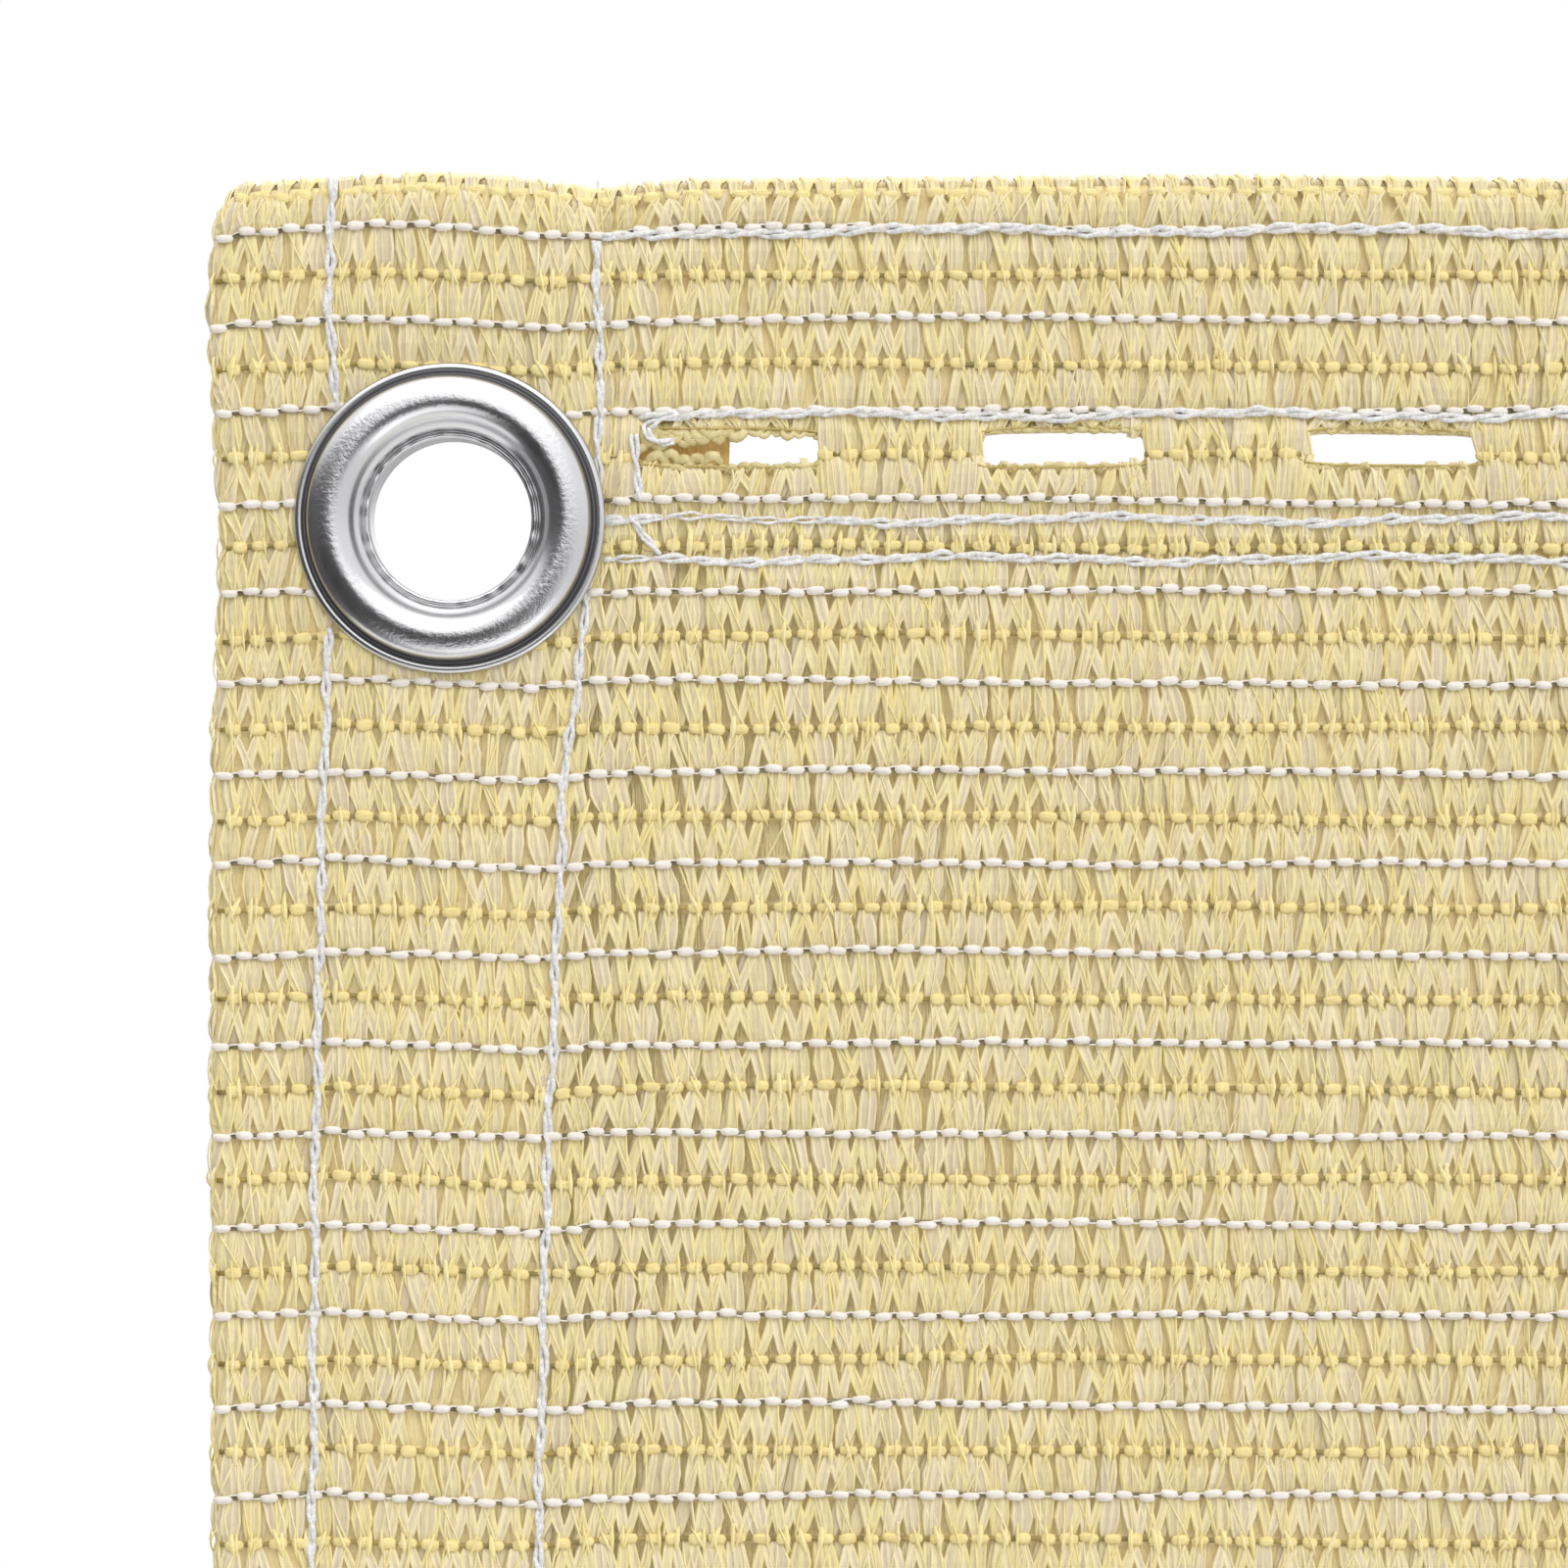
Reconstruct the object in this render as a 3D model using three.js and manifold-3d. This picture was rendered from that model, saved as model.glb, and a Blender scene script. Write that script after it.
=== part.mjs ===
import * as THREE from 'three';
import { mergeVertices } from 'three/addons/utils/BufferGeometryUtils.js';
import Module from 'manifold-3d';

// Balcony privacy screen. A length of cloth knitted from flat tape is turned back and sewn along all
// four sides. Each corner has a pressed metal eyelet, and each long edge has a row of lacing slots.
// Millimetres, +Z up, front face towards -Y. The screen hangs straight down from its top edge, and the
// origin is the middle of that edge.

const wasm = await Module();
wasm.setup();

const WIDTH = 3000;
const HEIGHT = 750;
const CLEARANCE = 0.3;

// Where the faces of the cloth lie, in front of (-) and behind (+) the middle of a single layer.
const FRONT = -0.6;
const SINGLE_BACK = 0.6;
const DOUBLE_BACK = 1.8;
const SEAM_DENT = 0.35;
const SEAM_TROUGH = 1.4;
const EDGE_ROUNDING = 0.9;
const EDGE_EASING = 0.1;
const EDGE_REACH = 0.5;

// The turned-back edge along the top and the bottom, with its lacing slots.
const BAND_DEPTH = 28;
const SLOT_PITCH = 25.4;
const SLOT_LENGTH = 13.2;
const SLOT_HEIGHT = 2.6;
const SLOT_DOWN = 20.4;
const SLOT_END_SHARE = 0.74;
const SLOT_UNEVEN = { length: 0.45, height: 0.15, tilt: 0.12 };
const FIRST_SLOT_IN = 39.3;

// The turned-back sides, from a corner to half way along. A row gives how far the outer edge stands
// out from the straight side, then the two seams and the raw edge behind as distances in from it.
const SIDE_HEM = [
  { down: 0, out: -1.2, seam: 8.8, innerSeam: 29.3, rawEdge: 39.6, stack: 'corner' },
  { down: 2.2, out: -0.3, seam: 8.8, innerSeam: 29.3, rawEdge: 39.5, stack: 'corner' },
  { down: 9, out: 0.35, seam: 9.0, innerSeam: 29.4, rawEdge: 39.4, stack: 'corner' },
  { down: 18, out: -0.15, seam: 9.3, innerSeam: 29.6, rawEdge: 39.5, stack: 'corner' },
  { down: 28.3, out: -0.7, seam: 9.0, innerSeam: 29.2, rawEdge: 39.2, stack: 'corner' },
  { down: 29.7, out: -0.6, seam: 8.9, innerSeam: 28.9, rawEdge: 39.0, stack: 'side' },
  { down: 46, out: 0, seam: 8.4, innerSeam: 26.8, rawEdge: 37.2, stack: 'side' },
  { down: 76, out: 0.1, seam: 7.8, innerSeam: 25.5, rawEdge: 36.1, stack: 'side' },
  { down: 106, out: -0.2, seam: 7.5, innerSeam: 24.8, rawEdge: 35.2, stack: 'side' },
  { down: 200, out: 0.3, seam: 8.2, innerSeam: 25.5, rawEdge: 35.4, stack: 'side' },
  { down: 300, out: -0.3, seam: 7.9, innerSeam: 25.0, rawEdge: 35.0, stack: 'side' },
];
const STACKS = {
  corner: { back: 2.2, rawFront: DOUBLE_BACK + CLEARANCE, rawBack: 3.0 },
  side: { back: DOUBLE_BACK, rawFront: SINGLE_BACK + CLEARANCE, rawBack: DOUBLE_BACK },
};
const BEYOND_SEAM = 0.7;
const WIDEST_CORNER_HEM = 29.6 + BEYOND_SEAM;

// How far the outline stands out from the straight edge near a corner, where the seams pull it in.
const CORNER_EDGE = [
  { along: 0, out: -1.2 },
  { along: 2.2, out: -0.3 },
  { along: 8.8, out: 0.1 },
  { along: 16.5, out: 0.5 },
  { along: 23, out: 0.1 },
  { along: 29.4, out: -0.7 },
  { along: 36, out: 0 },
];

// Soft upright folds that deepen from the tied top edge to the free bottom edge.
const FOLDS = [
  { at: -1235, reach: 170, depth: 5, lean: 25 },
  { at: -1010, reach: 190, depth: -8, lean: -20 },
  { at: -745, reach: 210, depth: 9, lean: 35 },
  { at: -470, reach: 180, depth: -6, lean: 10 },
  { at: -215, reach: 220, depth: 8, lean: -30 },
  { at: 95, reach: 230, depth: -9, lean: 20 },
  { at: 370, reach: 170, depth: 6, lean: -15 },
  { at: 640, reach: 210, depth: -7, lean: 30 },
  { at: 905, reach: 190, depth: 9, lean: -25 },
  { at: 1190, reach: 180, depth: -6, lean: -10 },
];

// Eyelets: a dome in front whose barrel passes through the cloth and a flat washer behind. The dome's
// rows run from the barrel out to its rim, by distance from the axis and height above its seat.
const EYELET_IN = 18.1;
const EYELET_DOWN = 25.8;
const HOLE_RADIUS = 6.2;
const CLOTH_HOLE_RADIUS = 7.1;
const PUNCH_LENGTH = 20;
const METAL = 0.5;
const EYELET_DOME = [
  { radius: HOLE_RADIUS, height: -0.8 },
  { radius: 6.65, height: 0.6 },
  { radius: 7.5, height: 1.75 },
  { radius: 8.5, height: 2.15 },
  { radius: 9.3, height: 2.15 },
  { radius: 10.2, height: 1.9 },
  { radius: 10.75, height: 1.3 },
  { radius: 11.2, height: 0.5 },
  { radius: 11.9, height: 0.45 },
  { radius: 11.9, height: 0 },
];
const WASHER_THICKNESS = 0.7;
const WASHER_RADIUS = 11.4;
const CURL_RADIUS = 8.2;
const ROUND_STEPS = 20;

const FIELD_COLUMNS = 46;

const CLOTH_COLOUR = 0xdccc9f;
const METAL_COLOUR = 0xc8cacc;

const lerp = THREE.MathUtils.lerp;
const smoothstep = THREE.MathUtils.smoothstep;

/** Reads one column of a table between its rows. */
function between(rows, key, value, column) {
  const next = rows.findIndex((row) => row[key] > value);
  if (next < 0) return rows[rows.length - 1][column];
  if (next === 0) return rows[0][column];
  const [before, after] = [rows[next - 1], rows[next]];
  const share = (value - before[key]) / (after[key] - before[key]);
  return lerp(before[column], after[column], share);
}

/** How far the cloth swings out of its flat plane. */
function drape(x, down) {
  const grown = smoothstep(down, 0, HEIGHT);
  let swing = 0;
  for (const fold of FOLDS) {
    const across = (x - fold.at - fold.lean * (down / HEIGHT)) / fold.reach;
    if (Math.abs(across) < 1) swing += fold.depth * Math.cos((across * Math.PI) / 2) ** 2;
  }
  return swing * grown;
}

/** The slight unevenness of a hand-guided edge. */
function waver(along) {
  return 0.22 * Math.sin(along / 31) + 0.16 * Math.sin(along / 12.7 + 1.3);
}

/** The outline's distance outside the straight edge, at a distance along it from the nearer corner. */
function outline(along) {
  const corner = between(CORNER_EDGE, 'along', along, 'out');
  return corner + waver(along) * smoothstep(along, 30, 60);
}

function fromCorner(x) {
  return WIDTH / 2 - Math.abs(x);
}

/** The whole side's rows from top to bottom, each with its distance down from the top as `at`. */
function sideRows() {
  const upper = SIDE_HEM.map((row) => ({ ...row, at: row.down }));
  const lower = SIDE_HEM.toReversed().map((row) => ({ ...row, at: HEIGHT - row.down }));
  return [...upper, ...lower];
}

function geometryOf(vertices, triangles) {
  const geometry = new THREE.BufferGeometry();
  geometry.setAttribute('position', new THREE.Float32BufferAttribute(vertices.flat(), 3));
  geometry.setIndex(triangles.flat());
  geometry.computeVertexNormals();
  return geometry;
}

/** A sheet with thickness from a flat pattern of [x, z] points and counter-clockwise triangles. */
function thicken(points, triangles, backOf) {
  const count = points.length;
  const swing = points.map(([x, z]) => drape(x, -z));
  const front = points.map(([x, z], i) => [x, FRONT + swing[i], z]);
  const back = points.map(([x, z], i) => [x, backOf + swing[i], z]);
  const faces = [];
  const edges = new Set();
  for (const [a, b, c] of triangles) {
    faces.push([a, b, c], [a + count, c + count, b + count]);
    for (const pair of [[a, b], [b, c], [c, a]]) edges.add(pair.join());
  }
  for (const edge of edges) {
    const [a, b] = edge.split(',').map(Number);
    if (edges.has(`${b},${a}`)) continue;
    faces.push([b, a, a + count], [b, a + count, b + count]);
  }
  return geometryOf([...front, ...back], faces);
}

/** The single layer of cloth between the four turned-back edges. */
function clothField() {
  const points = [];
  const triangles = [];
  const rows = sideRows().filter((row) => row.down > BAND_DEPTH);
  for (const { at, innerSeam } of rows) {
    const half = WIDTH / 2 - innerSeam - BEYOND_SEAM - CLEARANCE;
    for (let column = 0; column < FIELD_COLUMNS; column++) {
      points.push([lerp(-half, half, column / (FIELD_COLUMNS - 1)), -at]);
    }
  }
  for (let row = 0; row < rows.length - 1; row++) {
    for (let column = 0; column < FIELD_COLUMNS - 1; column++) {
      const upper = row * FIELD_COLUMNS + column;
      const lower = upper + FIELD_COLUMNS;
      triangles.push([lower, lower + 1, upper + 1], [lower, upper + 1, upper]);
    }
  }
  return thicken(points, triangles, SINGLE_BACK);
}

/** One lacing slot's six corners about its middle, counter-clockwise: long edges that bow outwards. */
function slotCorners(number) {
  const halfLength = (SLOT_LENGTH + SLOT_UNEVEN.length * Math.sin(number * 2.3)) / 2;
  const halfHeight = (SLOT_HEIGHT + SLOT_UNEVEN.height * Math.sin(number * 1.7 + 0.6)) / 2;
  const tilt = SLOT_UNEVEN.tilt * Math.sin(number * 3.1);
  const end = halfHeight * SLOT_END_SHARE;
  return [
    [-halfLength, -end - tilt],
    [tilt, -halfHeight],
    [halfLength, -end + tilt],
    [halfLength, end + tilt],
    [-tilt, halfHeight],
    [-halfLength, end - tilt],
  ];
}

/** A turned-back long edge: a cell for each slot, six slot corners inside four outer ones. */
function slottedBand(atTop) {
  const slots = Math.round((WIDTH - 2 * FIRST_SLOT_IN) / SLOT_PITCH) + 1;
  const pitch = (WIDTH - 2 * FIRST_SLOT_IN) / (slots - 1);
  const bandIn = WIDEST_CORNER_HEM + CLEARANCE;
  const heightOf = (down) => (atTop ? -down : down - HEIGHT);
  const points = [];
  const triangles = [];
  for (let wall = 0; wall <= slots; wall++) {
    const inner = THREE.MathUtils.clamp(
      FIRST_SLOT_IN + (wall - 0.5) * pitch, bandIn, WIDTH - bandIn);
    const x = inner - WIDTH / 2;
    points.push([x, heightOf(BAND_DEPTH)], [x, heightOf(-outline(fromCorner(x)))]);
  }
  for (let slot = 0; slot < slots; slot++) {
    const middle = FIRST_SLOT_IN + slot * pitch - WIDTH / 2;
    const first = points.length;
    for (const [along, up] of slotCorners(slot)) {
      points.push([middle + along, heightOf(SLOT_DOWN - (atTop ? up : -up))]);
    }
    const low = atTop ? 0 : 1;
    const [a, d] = [2 * slot + low, 2 * slot + 1 - low];
    const [b, c] = [a + 2, d + 2];
    const [h0, h1, h2, h3, h4, h5] = [0, 1, 2, 3, 4, 5].map((n) => first + n);
    triangles.push(
      [a, b, h1], [a, h1, h0], [b, h2, h1], [b, c, h3], [b, h3, h2],
      [c, d, h4], [c, h4, h3], [d, h5, h4], [d, a, h0], [d, h0, h5]);
  }
  return thicken(points, triangles, DOUBLE_BACK);
}

/** The cross-section of a turned-back side as [distance in from the side, depth] points. */
function sideSection({ out, seam, innerSeam, rawEdge, stack }) {
  const { back, rawFront, rawBack } = STACKS[stack];
  const inner = innerSeam + BEYOND_SEAM;
  return [
    [-out, FRONT + EDGE_ROUNDING],
    [EDGE_REACH - out, FRONT + EDGE_EASING],
    [seam - SEAM_TROUGH, FRONT],
    [seam, FRONT + SEAM_DENT],
    [seam + SEAM_TROUGH, FRONT],
    [innerSeam - SEAM_TROUGH, FRONT],
    [innerSeam, FRONT + SEAM_DENT],
    [inner, FRONT + EDGE_EASING],
    [inner, rawFront],
    [rawEdge, rawFront],
    [rawEdge, rawBack],
    [innerSeam + SEAM_TROUGH, rawBack],
    [innerSeam, back - SEAM_DENT],
    [innerSeam - SEAM_TROUGH, back],
    [seam + SEAM_TROUGH, back],
    [seam, back - SEAM_DENT],
    [seam - SEAM_TROUGH, back],
    [EDGE_REACH - out, back - EDGE_EASING],
    [-out, back - EDGE_ROUNDING],
  ];
}

/** Skins a row of sections that all have the same number of points, and caps both ends. */
function loft(sections) {
  const around = sections[0].flat.length;
  const vertices = sections.flatMap((section) => section.points);
  const triangles = [];
  for (let station = 0; station < sections.length - 1; station++) {
    for (let i = 0; i < around; i++) {
      const j = (i + 1) % around;
      const [near, far] = [station * around, (station + 1) * around];
      triangles.push([near + i, far + i, far + j], [near + i, far + j, near + j]);
    }
  }
  const last = (sections.length - 1) * around;
  const capOf = ({ flat }) => THREE.ShapeUtils.triangulateShape(
    flat.map(([s, y]) => new THREE.Vector2(s, y)), []);
  for (const [a, b, c] of capOf(sections[0])) triangles.push([a, b, c]);
  for (const [a, b, c] of capOf(sections[sections.length - 1])) {
    triangles.push([last + a, last + c, last + b]);
  }
  return geometryOf(vertices, triangles);
}

/** The left side's turned-back cloth, before its eyelet holes are cut. */
function sideHem() {
  const sections = sideRows().map((row) => {
    const flat = sideSection(row);
    const upward = row.at < HEIGHT / 2 ? 1 : -1;
    const points = flat.map(([along, depth]) => {
      const rise = row.down === 0 ? upward * outline(along) : 0;
      return [along - WIDTH / 2, depth, rise - row.at];
    });
    return { flat, points };
  });
  return loft(sections);
}

/** The same shape with the points that its faces share joined. */
function merged(geometry) {
  geometry.deleteAttribute('normal');
  geometry.deleteAttribute('uv');
  return mergeVertices(geometry);
}

function solidOf(geometry) {
  const vertProperties = new Float32Array(geometry.getAttribute('position').array);
  const triVerts = new Uint32Array(geometry.getIndex().array);
  return new wasm.Manifold(new wasm.Mesh({ numProp: 3, vertProperties, triVerts }));
}

function geometryFrom(solid) {
  const { vertProperties, triVerts, numProp } = solid.getMesh();
  const geometry = new THREE.BufferGeometry();
  const positions = [];
  for (let i = 0; i < vertProperties.length; i += numProp) {
    positions.push(vertProperties[i], vertProperties[i + 1], vertProperties[i + 2]);
  }
  geometry.setAttribute('position', new THREE.Float32BufferAttribute(positions, 3));
  geometry.setIndex(Array.from(triVerts));
  geometry.computeVertexNormals();
  return geometry;
}

/** A ring's closed [radius, depth] profile, turned about an axis that points to the back. */
function turned(profile) {
  const points = [...profile, profile[0]].map(([radius, depth]) => new THREE.Vector2(radius, depth));
  return merged(new THREE.LatheGeometry(points, ROUND_STEPS));
}

/** The eyelet's front: its dome, and the barrel with its edge curled over the washer behind. */
function eyeletProfile() {
  const seat = FRONT - CLEARANCE;
  const washerBack = STACKS.corner.back + CLEARANCE + WASHER_THICKNESS;
  const curl = washerBack + CLEARANCE;
  const barrel = HOLE_RADIUS + METAL;
  return [
    [barrel, curl],
    [CURL_RADIUS, curl],
    [CURL_RADIUS - METAL / 2, curl + METAL],
    [barrel, curl + METAL],
    [HOLE_RADIUS, washerBack],
    ...EYELET_DOME.map(({ radius, height }) => [radius, seat - height]),
    [barrel, seat],
  ];
}

function washerProfile() {
  const seat = STACKS.corner.back + CLEARANCE;
  const inner = HOLE_RADIUS + METAL + CLEARANCE;
  return [
    [inner, seat + WASHER_THICKNESS],
    [inner, seat],
    [WASHER_RADIUS, seat],
    [WASHER_RADIUS, seat + WASHER_THICKNESS / 2],
    [WASHER_RADIUS - METAL, seat + WASHER_THICKNESS],
  ];
}

const clothMaterial = new THREE.MeshStandardMaterial({
  color: CLOTH_COLOUR, roughness: 0.6, metalness: 0,
});
const metalMaterial = new THREE.MeshStandardMaterial({
  color: METAL_COLOUR, roughness: 0.25, metalness: 1,
});

const screen = new THREE.Group();

function add(name, geometry, material) {
  const mesh = new THREE.Mesh(geometry, material);
  mesh.name = name;
  screen.add(mesh);
  return mesh;
}

/** The same solid on the other side of the screen, with its faces still pointing out. */
function acrossTheMiddle(geometry) {
  const copy = geometry.clone();
  copy.scale(-1, 1, 1);
  const index = copy.getIndex();
  for (let i = 0; i < index.count; i += 3) {
    const kept = index.getX(i + 1);
    index.setX(i + 1, index.getX(i + 2));
    index.setX(i + 2, kept);
  }
  return copy;
}

add('cloth_field', clothField(), clothMaterial);
add('band_top', slottedBand(true), clothMaterial);
add('band_bottom', slottedBand(false), clothMaterial);

const eyeletX = WIDTH / 2 - EYELET_IN;
const eyeletHeights = { top: -EYELET_DOWN, bottom: EYELET_DOWN - HEIGHT };
let hem = solidOf(sideHem());
for (const z of Object.values(eyeletHeights)) {
  const punch = new THREE.CylinderGeometry(
    CLOTH_HOLE_RADIUS, CLOTH_HOLE_RADIUS, PUNCH_LENGTH, ROUND_STEPS);
  punch.translate(-eyeletX, 0, z);
  hem = hem.subtract(solidOf(merged(punch)));
}
const hemGeometry = geometryFrom(hem);
add('hem_left', hemGeometry, clothMaterial);
add('hem_right', acrossTheMiddle(hemGeometry), clothMaterial);

const eyeletGeometry = turned(eyeletProfile());
const washerGeometry = turned(washerProfile());
for (const [height, z] of Object.entries(eyeletHeights)) {
  for (const [side, x] of Object.entries({ left: -eyeletX, right: eyeletX })) {
    add(`eyelet_${height}_${side}`, eyeletGeometry.clone(), metalMaterial).position.set(x, 0, z);
    add(`washer_${height}_${side}`, washerGeometry.clone(), metalMaterial).position.set(x, 0, z);
  }
}

export default screen;
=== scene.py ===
import math
from collections import namedtuple

import bpy
import numpy as np
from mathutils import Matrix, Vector


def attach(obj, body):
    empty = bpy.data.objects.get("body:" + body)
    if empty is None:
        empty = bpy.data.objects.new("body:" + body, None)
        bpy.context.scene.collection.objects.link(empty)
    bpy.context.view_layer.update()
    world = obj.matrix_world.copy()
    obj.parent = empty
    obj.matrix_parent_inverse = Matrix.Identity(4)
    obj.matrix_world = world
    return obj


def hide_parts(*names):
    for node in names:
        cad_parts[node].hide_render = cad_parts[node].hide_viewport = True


# A balcony privacy screen of knitted flat tape, hanging straight down from its top edge. The camera
# looks at its upper left corner. Lengths are in millimetres until a mesh is made. `down` is measured
# from the straight top edge and `along` from the straight left edge.

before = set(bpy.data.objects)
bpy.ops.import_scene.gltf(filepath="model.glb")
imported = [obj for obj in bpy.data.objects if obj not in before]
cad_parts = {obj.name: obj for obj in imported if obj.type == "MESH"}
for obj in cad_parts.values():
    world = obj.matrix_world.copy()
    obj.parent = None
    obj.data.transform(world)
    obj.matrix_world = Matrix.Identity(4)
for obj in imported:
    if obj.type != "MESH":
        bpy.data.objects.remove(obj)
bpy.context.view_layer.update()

MM = 0.001
WIDTH = 3000.0
HEIGHT = 750.0
LEFT = -WIDTH / 2

FRONT = -0.6
SINGLE_BACK = 0.6
DOUBLE_BACK = 1.8
CORNER_BACK = 2.2
RAW_FRONT = 2.1
RAW_BACK = 3.0
# The sheets lie this far behind the front that the stitches stand on.
SHEET_IN = 0.2
FIELD_REAR_IN = 0.85
# Down to here both turned-back edges lie over each other.
CORNER_REACH = 29
FOLD_RADIUS = 1.2

BAND_DEPTH = 28.15
SLOT_PITCH = 25.4
SLOT_LENGTH = 13.2
SLOT_HEIGHT = 2.6
SLOT_DOWN = 20.4
FIRST_SLOT_IN = 39.3
SLOTS = round((WIDTH - 2 * FIRST_SLOT_IN) / SLOT_PITCH) + 1
BAND_SEAMS = (3.9, 17.9, 25.9, 28.9)

# How deep the seams pull the front in, and how far to each side.
SIDE_SEAM_DEEP, SIDE_SEAM_WIDE = 0.4, 1.1
INNER_SEAM_DEEP, INNER_SEAM_WIDE = 0.45, 1.2
BAND_SEAM_DEEP, BAND_SEAM_WIDE = 0.28, 0.9
# How far the cloth puffs out between the two side seams, and how deep the puckers at them are.
PUFF = 0.35
PUCKER = 0.1
THREAD_PROUD = 0.25
# Half the width of a seam's trough in the back, and how deep it is.
TROUGH_HALF, TROUGH_DEEP = 1.4, 0.4

EYELET_IN = 18.1
EYELET_DOWN = 25.8
DOME_RADIUS = 11.0
# Plain cords and seams stop this far from an eyelet's middle, or run only inside of the hem.
EYELET_CLEAR = 12
HEM_END = 30.5
CLOTH_HOLE = 7.0
WASHER_SEAT = CORNER_BACK + 0.3

ROW_PITCH = 3.456
FIRST_ROW = 3.75
STITCH_PITCH = 1.68
SLOT_ROW = 5
NEAR_SLOTS = range(4)
# The plain rows further off: how far they stand out, half their width, and how far slots keep them off.
CORD_PROUD = 0.32
CORD_HALF = 0.36
SLOT_CLEAR = 2.2

# The knit is made stitch by stitch as far as the camera sees, and a little further.
CLOSE_ALONG = 113.0
CLOSE_ROWS = 31
CLOSE_DOWN = FIRST_ROW + (CLOSE_ROWS - 1) * ROW_PITCH

Fold = namedtuple("Fold", "at reach depth lean")
FOLDS = (
    Fold(-1235, 170, 5, 25),
    Fold(-1010, 190, -8, -20),
    Fold(-745, 210, 9, 35),
    Fold(-470, 180, -6, 10),
    Fold(-215, 220, 8, -30),
    Fold(95, 230, -9, 20),
    Fold(370, 170, 6, -15),
    Fold(640, 210, -7, 30),
    Fold(905, 190, 9, -25),
    Fold(1190, 180, -6, -10),
)

# The turned-back sides: how far the edge stands out, the two seams and the raw edge behind.
SIDE = {
    "down": (0, 2.2, 9, 18, 28.3, 29.7, 46, 76, 106, 200, 300),
    "out": (-1.2, -0.3, 0.35, -0.15, -0.7, -0.6, 0, 0.1, -0.2, 0.3, -0.3),
    "seam": (8.8, 8.8, 9.0, 9.3, 9.0, 8.9, 8.4, 7.8, 7.5, 8.2, 7.9),
    "inner": (29.3, 29.3, 29.4, 29.6, 29.2, 28.9, 26.8, 25.5, 24.8, 25.5, 25.0),
    "raw": (39.6, 39.5, 39.4, 39.5, 39.2, 39.0, 37.2, 36.1, 35.2, 35.4, 35.0),
}
BEYOND_SEAM = 0.85

# How far the top outline stands out near a corner, where the seams pull it in.
CORNER_ALONG = (0, 2.2, 8.8, 16.5, 23, 29.4, 36)
CORNER_OUT = (-1.2, -0.3, 0.1, 0.5, 0.1, -0.7, 0)

# How far the rows of stitches ride up near the seams of a side.
LIFT_ALONG = (0, 8.4, 9.6, 25.5, 28.5, 32, 50, 75, 104)
LIFT_UP = (-0.25, 0.1, 0.2, -0.5, -0.1, 0.05, 0.15, 0, -0.12)


# The cloth's shape


def srgb(red, green, blue):
    """A colour given as screen values from 0 to 255, as Blender's linear values."""
    return [((c / 255 + 0.055) / 1.055) ** 2.4 if c > 10 else c / 3295 for c in (red, green, blue)] + [1]


def eased(share):
    share = np.clip(share, 0, 1)
    return share * share * (3 - 2 * share)


def drape(x, down):
    """How far the cloth swings out of its flat plane."""
    swing = 0
    for fold in FOLDS:
        across = (x - fold.at - fold.lean * down / HEIGHT) / fold.reach
        swing = swing + fold.depth * np.cos(np.clip(across, -1, 1) * math.pi / 2) ** 2
    return swing * eased(down / HEIGHT)


def side(column, down):
    return np.interp(np.minimum(down, HEIGHT - down), SIDE["down"], SIDE[column])


def waver(along):
    return 0.22 * np.sin(along / 31) + 0.16 * np.sin(along / 12.7 + 1.3)


def outline(along):
    """The top edge's height over the straight edge."""
    corner = np.interp(along, CORNER_ALONG, CORNER_OUT)
    return corner + waver(along) * eased((along - 30) / 30)


def lump(distance, reach):
    return np.exp(-((distance / reach) ** 2))


def front_of(x, down):
    """Where the front of the cloth lies, with the troughs and puckers that its seams pull in."""
    along = WIDTH / 2 - np.abs(x)
    near = np.minimum(down, HEIGHT - down)
    seam, inner = side("seam", down), side("inner", down)
    depth = FRONT + drape(x, down)
    depth = depth + SIDE_SEAM_DEEP * lump(along - seam, SIDE_SEAM_WIDE)
    depth = depth + INNER_SEAM_DEEP * lump(along - inner, INNER_SEAM_WIDE)
    between = np.clip((along - seam) / (inner - seam), 0, 1)
    free = eased((np.hypot(along - EYELET_IN, near - EYELET_DOWN) - DOME_RADIUS) / 6)
    depth = depth - PUFF * np.sin(between * math.pi) * free
    depth = depth + PUCKER * np.sin(down / 1.9) * lump(along - seam, 3.5)
    depth = depth + PUCKER * np.sin(down / 2.3 + 1) * lump(along - inner, 3.5)
    on_band = eased((along - inner) / 2)
    for seam_down in BAND_SEAMS:
        depth = depth + BAND_SEAM_DEEP * on_band * lump(near - seam_down, BAND_SEAM_WIDE)
    return depth


# Meshes


def add_object(name, mesh):
    piece = bpy.data.objects.new(name, mesh)
    bpy.context.scene.collection.objects.link(piece)
    return piece


def make_piece(name, points, faces, material, smooth=False, **attributes):
    """A piece from millimetre points, with a number for each point under each attribute's name."""
    mesh = bpy.data.meshes.new(name)
    mesh.from_pydata((np.asarray(points) * MM).tolist(), [], [list(face) for face in faces])
    for key, values in attributes.items():
        mesh.attributes.new(key, "FLOAT", "POINT").data.foreach_set("value", np.ravel(values))
    mesh.polygons.foreach_set("use_smooth", [smooth] * len(mesh.polygons))
    mesh.materials.append(material)
    mesh.validate()
    return add_object(name, mesh)


def baked(piece):
    """The piece as a plain mesh, with its modifiers in its shape."""
    shown = piece.evaluated_get(bpy.context.evaluated_depsgraph_get())
    mesh = bpy.data.meshes.new_from_object(shown)
    piece.modifiers.clear()
    piece.data = mesh
    return piece


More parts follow.
